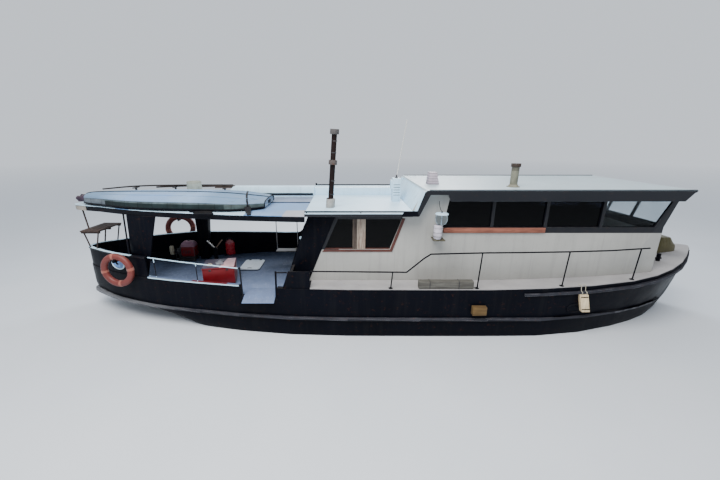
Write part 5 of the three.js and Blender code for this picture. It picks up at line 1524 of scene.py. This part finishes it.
def build_deck_gear(c, z):
    roll = timber("roll_wood", (0.15, 0.145, 0.125), (0.055, 0.05, 0.045), moss=0.3)
    dress("stowed_plank", roll, 0.010)
    low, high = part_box("stowed_plank")
    straps = Shape()
    for x in (low.x + 0.22, high.x - 0.30):
        foot, near, far, top = low.z + 0.004, low.y - 0.003, high.y + 0.003, high.z + 0.003
        loop = [(x, near, foot), (x, near, top), (x, far, top), (x, far, foot)]
        straps.tube(loop, 0.006, sides=8, up=ALONG_X)
    straps.piece("plank_bands", dark_steel(), slot="black_steel")

    cream_wood = timber("cream_board", (0.86, 0.70, 0.46), (0.62, 0.47, 0.28), stretch=(1.0, 1.0, 0.06), moss=0.1)
    dress("fender_board", cream_wood, 0.006)
    dress("fender_block", timber("fender_block_wood", (0.17, 0.105, 0.035), (0.06, 0.033, 0.014), moss=0.3), 0.008)
    low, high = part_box("fender_board")
    mark = Shape()
    skin = Skin("fender_board")
    for share in (0.16, 0.86):
        z0 = low.z + (high.z - low.z) * share
        hits = []
        for x in [low.x - 0.02 + (high.x - low.x + 0.04) * i / 40 for i in range(41)]:
            hit, _ = skin.from_side(x, z0, -1)
            if hit is not None and hit.y < -1.62:
                hits.append(hit)
        if len(hits) > 2:
            a, b = hits[0], hits[-1]
            near = min(a.y, b.y)
            mark.block((a.x + 0.004, near - 0.003, z0 - 0.010), (b.x - 0.004, near + 0.002, z0 + 0.010), 0.001)
    mark.piece("fender_bands", trim_paint(c), slot="black_steel")
    hull = Skin("hull")
    deck_edge = Skin("deck")
    lines = Shape()
    top = high.z
    for x in (3.765, 3.855):
        start = Vector((x, low.y + 0.012, top + 0.0005))
        over, _ = hull.from_side(x - 0.012, 1.02, -1)
        rim, _ = deck_edge.from_above(x - 0.03, -1.60)
        path = [start, Vector((x - 0.006, min(over.y, low.y) - 0.010, top + 0.05)),
                Vector((x - 0.012, over.y - 0.030, 1.06)), Vector((x - 0.02, over.y - 0.012, rim.z + 0.012)),
                Vector((x - 0.03, -1.62, rim.z + 0.010)), Vector((x - 0.03, -1.585, rim.z + 0.010))]
        lines.tube(smooth_line(path, 4), z.rope / 2, sides=8, up=ALONG_X)
    lines.piece("fender_lashing", rope_fibre(), slot="white_paint")

    build_windlass_cover()
    dress("bitts_bow_stbd bitts_bow_port", trim_paint(c), 0.003)


def build_windlass_cover():
    """Old canvas thrown over the windlass: a hump, folds down to the deck and a loose hem."""
    low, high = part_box("windlass_cover")
    skin = Skin("deck")
    mid_x = (low.x + high.x) / 2
    hump_x, hump_half, low_rise, hump_rise, thick = 6.61, 0.155, 0.21, 0.185, 0.0035
    cols, rows = 44, 30
    grid = []
    for i in range(cols + 1):
        row = []
        for j in range(rows + 1):
            a, b = -1 + 2 * i / cols, -1 + 2 * j / rows
            # The corners of the sheet tuck in.
            shrink = 1.0 - 0.12 * (abs(a) ** 3) * (abs(b) ** 3)
            x = mid_x + (high.x - low.x) * 0.497 * a * shrink
            y = (high.y - low.y) * 0.497 * b * shrink
            ground = skin.from_above(x, y)[0]
            floor_z = (ground.z if ground is not None else 1.40) + 0.004
            body = low_rise + hump_rise * math.exp(-(((x - hump_x) / hump_half) ** 4) * 0.8)
            body *= 1.0 - 0.08 * abs(b) ** 2
            edge = max(abs(a), abs(b))
            fall = min(1.0, (1.0 - edge) / 0.30) if edge < 1 else 0.0
            waves = 0.018 * math.sin(19.0 * (a * 1.3 + 0.4 * b)) + 0.014 * math.sin(23.0 * b + 5.0 * a)
            lump = noise.noise(Vector((x * 6.0, y * 6.0, 3.1))) * 0.022 * fall
            rise = max(0.0, body * fall**0.42 + lump + waves * (1 - fall) * (0.3 + fall))
            row.append((x, y, max(floor_z, min(high.z - 0.004, floor_z + rise))))
        grid.append(row)
    cover = Shape()
    new, face = cover.mesh.verts.new, cover.mesh.faces.new
    top, under = ([[new((x, y, h - drop)) for x, y, h in row] for row in grid] for drop in (0.0, thick))
    for i in range(cols):
        for j in range(rows):
            face((top[i][j], top[i + 1][j], top[i + 1][j + 1], top[i][j + 1]))
            face((under[i][j], under[i][j + 1], under[i + 1][j + 1], under[i + 1][j]))

    def border(sheet):
        """Points round the edge of the sheet, in order."""
        back = [row[rows] for row in sheet[cols - 1 :: -1]]
        return [row[0] for row in sheet] + sheet[cols][1:] + back + sheet[0][rows - 1 : 0 : -1]

    hem = list(zip(border(top), border(under)))
    for (a, b), (d, e) in zip(hem, hem[1:] + hem[:1]):
        face((a, b, e, d))
    cloth = canvas("cover_canvas", (0.085, 0.075, 0.035), 700.0, 0.6)
    made = cover.piece("windlass_canvas", cloth, slot="cover_fabric", smooth=60, stands_for=("windlass_cover",))


# ---- Operators -----------------------------------------------------------------------------------


def run(build, context):
    """Builds one group of pieces with the colours and sizes of the scene."""
    build(context.scene.houseboat_colours, context.scene.houseboat_sizes)
    return {"FINISHED"}


class HOUSEBOAT_OT_stage(bpy.types.Operator):
    """Make the pale floor at the water level, the soft lights and the camera"""

    bl_idname = "houseboat.stage"
    bl_label = "Stage"

    def execute(self, context):
        build_stage(context.scene.houseboat_stage)
        return {"FINISHED"}


class HOUSEBOAT_OT_hull(bpy.types.Operator):
    """Paint the hull, bulwark, strakes, deck and running gear"""

    bl_idname = "houseboat.hull"
    bl_label = "Hull and deck"

    def execute(self, context):
        return run(build_hull, context)


class HOUSEBOAT_OT_cabin(bpy.types.Operator):
    """Paint the cabin walls, bulkhead, door and pillars"""

    bl_idname = "houseboat.cabin"
    bl_label = "Cabin"

    def execute(self, context):
        return run(build_cabin, context)


class HOUSEBOAT_OT_windows(bpy.types.Operator):
    """Glaze the cabin and add the window frames"""

    bl_idname = "houseboat.windows"
    bl_label = "Windows"

    def execute(self, context):
        return run(build_windows, context)


class HOUSEBOAT_OT_roofs(bpy.types.Operator):
    """Paint the roofs and add their lips"""

    bl_idname = "houseboat.roofs"
    bl_label = "Roofs"

    def execute(self, context):
        return run(build_roofs, context)


class HOUSEBOAT_OT_canopy(bpy.types.Operator):
    """Paint the canopy and add what lies on it"""

    bl_idname = "houseboat.canopy"
    bl_label = "Canopy"

    def execute(self, context):
        return run(build_canopy, context)


class HOUSEBOAT_OT_tender(bpy.types.Operator):
    """Build the tender with its strips, strap and chocks"""

    bl_idname = "houseboat.tender"
    bl_label = "Tender"

    def execute(self, context):
        return run(build_tender, context)


class HOUSEBOAT_OT_lifebuoys(bpy.types.Operator):
    """Build the lifebuoys with their bands"""

    bl_idname = "houseboat.lifebuoys"
    bl_label = "Lifebuoys"

    def execute(self, context):
        return run(build_lifebuoys, context)


class HOUSEBOAT_OT_fairleads(bpy.types.Operator):
    """Add the fairleads of the quarters and the hawse rims of the bows"""

    bl_idname = "houseboat.fairleads"
    bl_label = "Fairleads"

    def execute(self, context):
        return run(build_fairleads, context)


class HOUSEBOAT_OT_rails(bpy.types.Operator):
    """Paint the rails and add the flanges of their posts"""

    bl_idname = "houseboat.rails"
    bl_label = "Rails"

    def execute(self, context):
        return run(build_rails, context)


class HOUSEBOAT_OT_cockpit(bpy.types.Operator):
    """Paint the cockpit floor and the swing seat"""

    bl_idname = "houseboat.cockpit"
    bl_label = "Cockpit"

    def execute(self, context):
        return run(build_cockpit, context)


class HOUSEBOAT_OT_hatch(bpy.types.Operator):
    """Build the hatch lid of the cockpit floor"""

    bl_idname = "houseboat.hatch"
    bl_label = "Hatch lid"

    def execute(self, context):
        return run(build_hatch, context)


class HOUSEBOAT_OT_locker(bpy.types.Operator):
    """Build the locker and what lies on it"""

    bl_idname = "houseboat.locker"
    bl_label = "Locker"

    def execute(self, context):
        return run(build_locker, context)


class HOUSEBOAT_OT_generator(bpy.types.Operator):
    """Build the generator"""

    bl_idname = "houseboat.generator"
    bl_label = "Generator"

    def execute(self, context):
        return run(build_generator, context)


class HOUSEBOAT_OT_capstan(bpy.types.Operator):
    """Build the hand capstan"""

    bl_idname = "houseboat.capstan"
    bl_label = "Capstan"

    def execute(self, context):
        return run(build_capstan, context)


class HOUSEBOAT_OT_cans(bpy.types.Operator):
    """Build the canister and the pale can"""

    bl_idname = "houseboat.cans"
    bl_label = "Canisters"

    def execute(self, context):
        return run(build_cans, context)


class HOUSEBOAT_OT_wing(bpy.types.Operator):
    """Add the curved plate at the end of the far bulwark"""

    bl_idname = "houseboat.wing"
    bl_label = "Wing plate"

    def execute(self, context):
        return run(build_wing, context)


class HOUSEBOAT_OT_door_fittings(bpy.types.Operator):
    """Add the door handle and the lamp on the bulkhead"""

    bl_idname = "houseboat.door_fittings"
    bl_label = "Door fittings"

    def execute(self, context):
        return run(build_door_fittings, context)


class HOUSEBOAT_OT_roof_gear(bpy.types.Operator):
    """Paint and detail the stove pipe, vents and aerial"""

    bl_idname = "houseboat.roof_gear"
    bl_label = "Roof gear"

    def execute(self, context):
        return run(build_roof_gear, context)


class HOUSEBOAT_OT_lantern(bpy.types.Operator):
    """Hang the lantern under the forward roof"""

    bl_idname = "houseboat.lantern"
    bl_label = "Lantern"

    def execute(self, context):
        return run(build_lantern, context)


class HOUSEBOAT_OT_deck_gear(bpy.types.Operator):
    """Paint the timber and build the lashings and the windlass cover"""

    bl_idname = "houseboat.deck_gear"
    bl_label = "Deck gear"

    def execute(self, context):
        return run(build_deck_gear, context)


class HOUSEBOAT_PT_panel(bpy.types.Panel):
    """Lists the parts of the houseboat"""

    bl_idname = "HOUSEBOAT_PT_panel"
    bl_label = "Houseboat"
    bl_space_type = "VIEW_3D"
    bl_region_type = "UI"
    bl_category = "Houseboat"

    def draw(self, context):
        for operator in OPERATORS:
            self.layout.operator(operator.bl_idname)
        for group in (
            context.scene.houseboat_colours,
            context.scene.houseboat_sizes,
            context.scene.houseboat_stage,
        ):
            box = self.layout.box()
            for name in group.__annotations__:
                box.prop(group, name)


OPERATORS = (
    HOUSEBOAT_OT_stage,
    HOUSEBOAT_OT_hull,
    HOUSEBOAT_OT_cabin,
    HOUSEBOAT_OT_windows,
    HOUSEBOAT_OT_roofs,
    HOUSEBOAT_OT_canopy,
    HOUSEBOAT_OT_tender,
    HOUSEBOAT_OT_lifebuoys,
    HOUSEBOAT_OT_fairleads,
    HOUSEBOAT_OT_rails,
    HOUSEBOAT_OT_cockpit,
    HOUSEBOAT_OT_hatch,
    HOUSEBOAT_OT_locker,
    HOUSEBOAT_OT_generator,
    HOUSEBOAT_OT_capstan,
    HOUSEBOAT_OT_cans,
    HOUSEBOAT_OT_wing,
    HOUSEBOAT_OT_door_fittings,
    HOUSEBOAT_OT_roof_gear,
    HOUSEBOAT_OT_lantern,
    HOUSEBOAT_OT_deck_gear,
)
GROUPS = (HouseboatColours, HouseboatSizes, HouseboatStage)
CLASSES = (*GROUPS, *OPERATORS, HOUSEBOAT_PT_panel)


def register():
    for each in CLASSES:
        bpy.utils.register_class(each)
    bpy.types.Scene.houseboat_colours = PointerProperty(type=HouseboatColours)
    bpy.types.Scene.houseboat_sizes = PointerProperty(type=HouseboatSizes)
    bpy.types.Scene.houseboat_stage = PointerProperty(type=HouseboatStage)


def unregister():
    del bpy.types.Scene.houseboat_stage
    del bpy.types.Scene.houseboat_sizes
    del bpy.types.Scene.houseboat_colours
    for each in reversed(CLASSES):
        bpy.utils.unregister_class(each)


def corners(box):
    return [[round(v, 5) for v in corner] for corner in box]


def main():
    register()
    for operator in OPERATORS:
        getattr(bpy.ops.houseboat, operator.bl_idname.split(".")[1])()
    {"cad": corners(CAD_BOX), "visual": corners(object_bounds())}


if __name__ == "__main__":
    main()
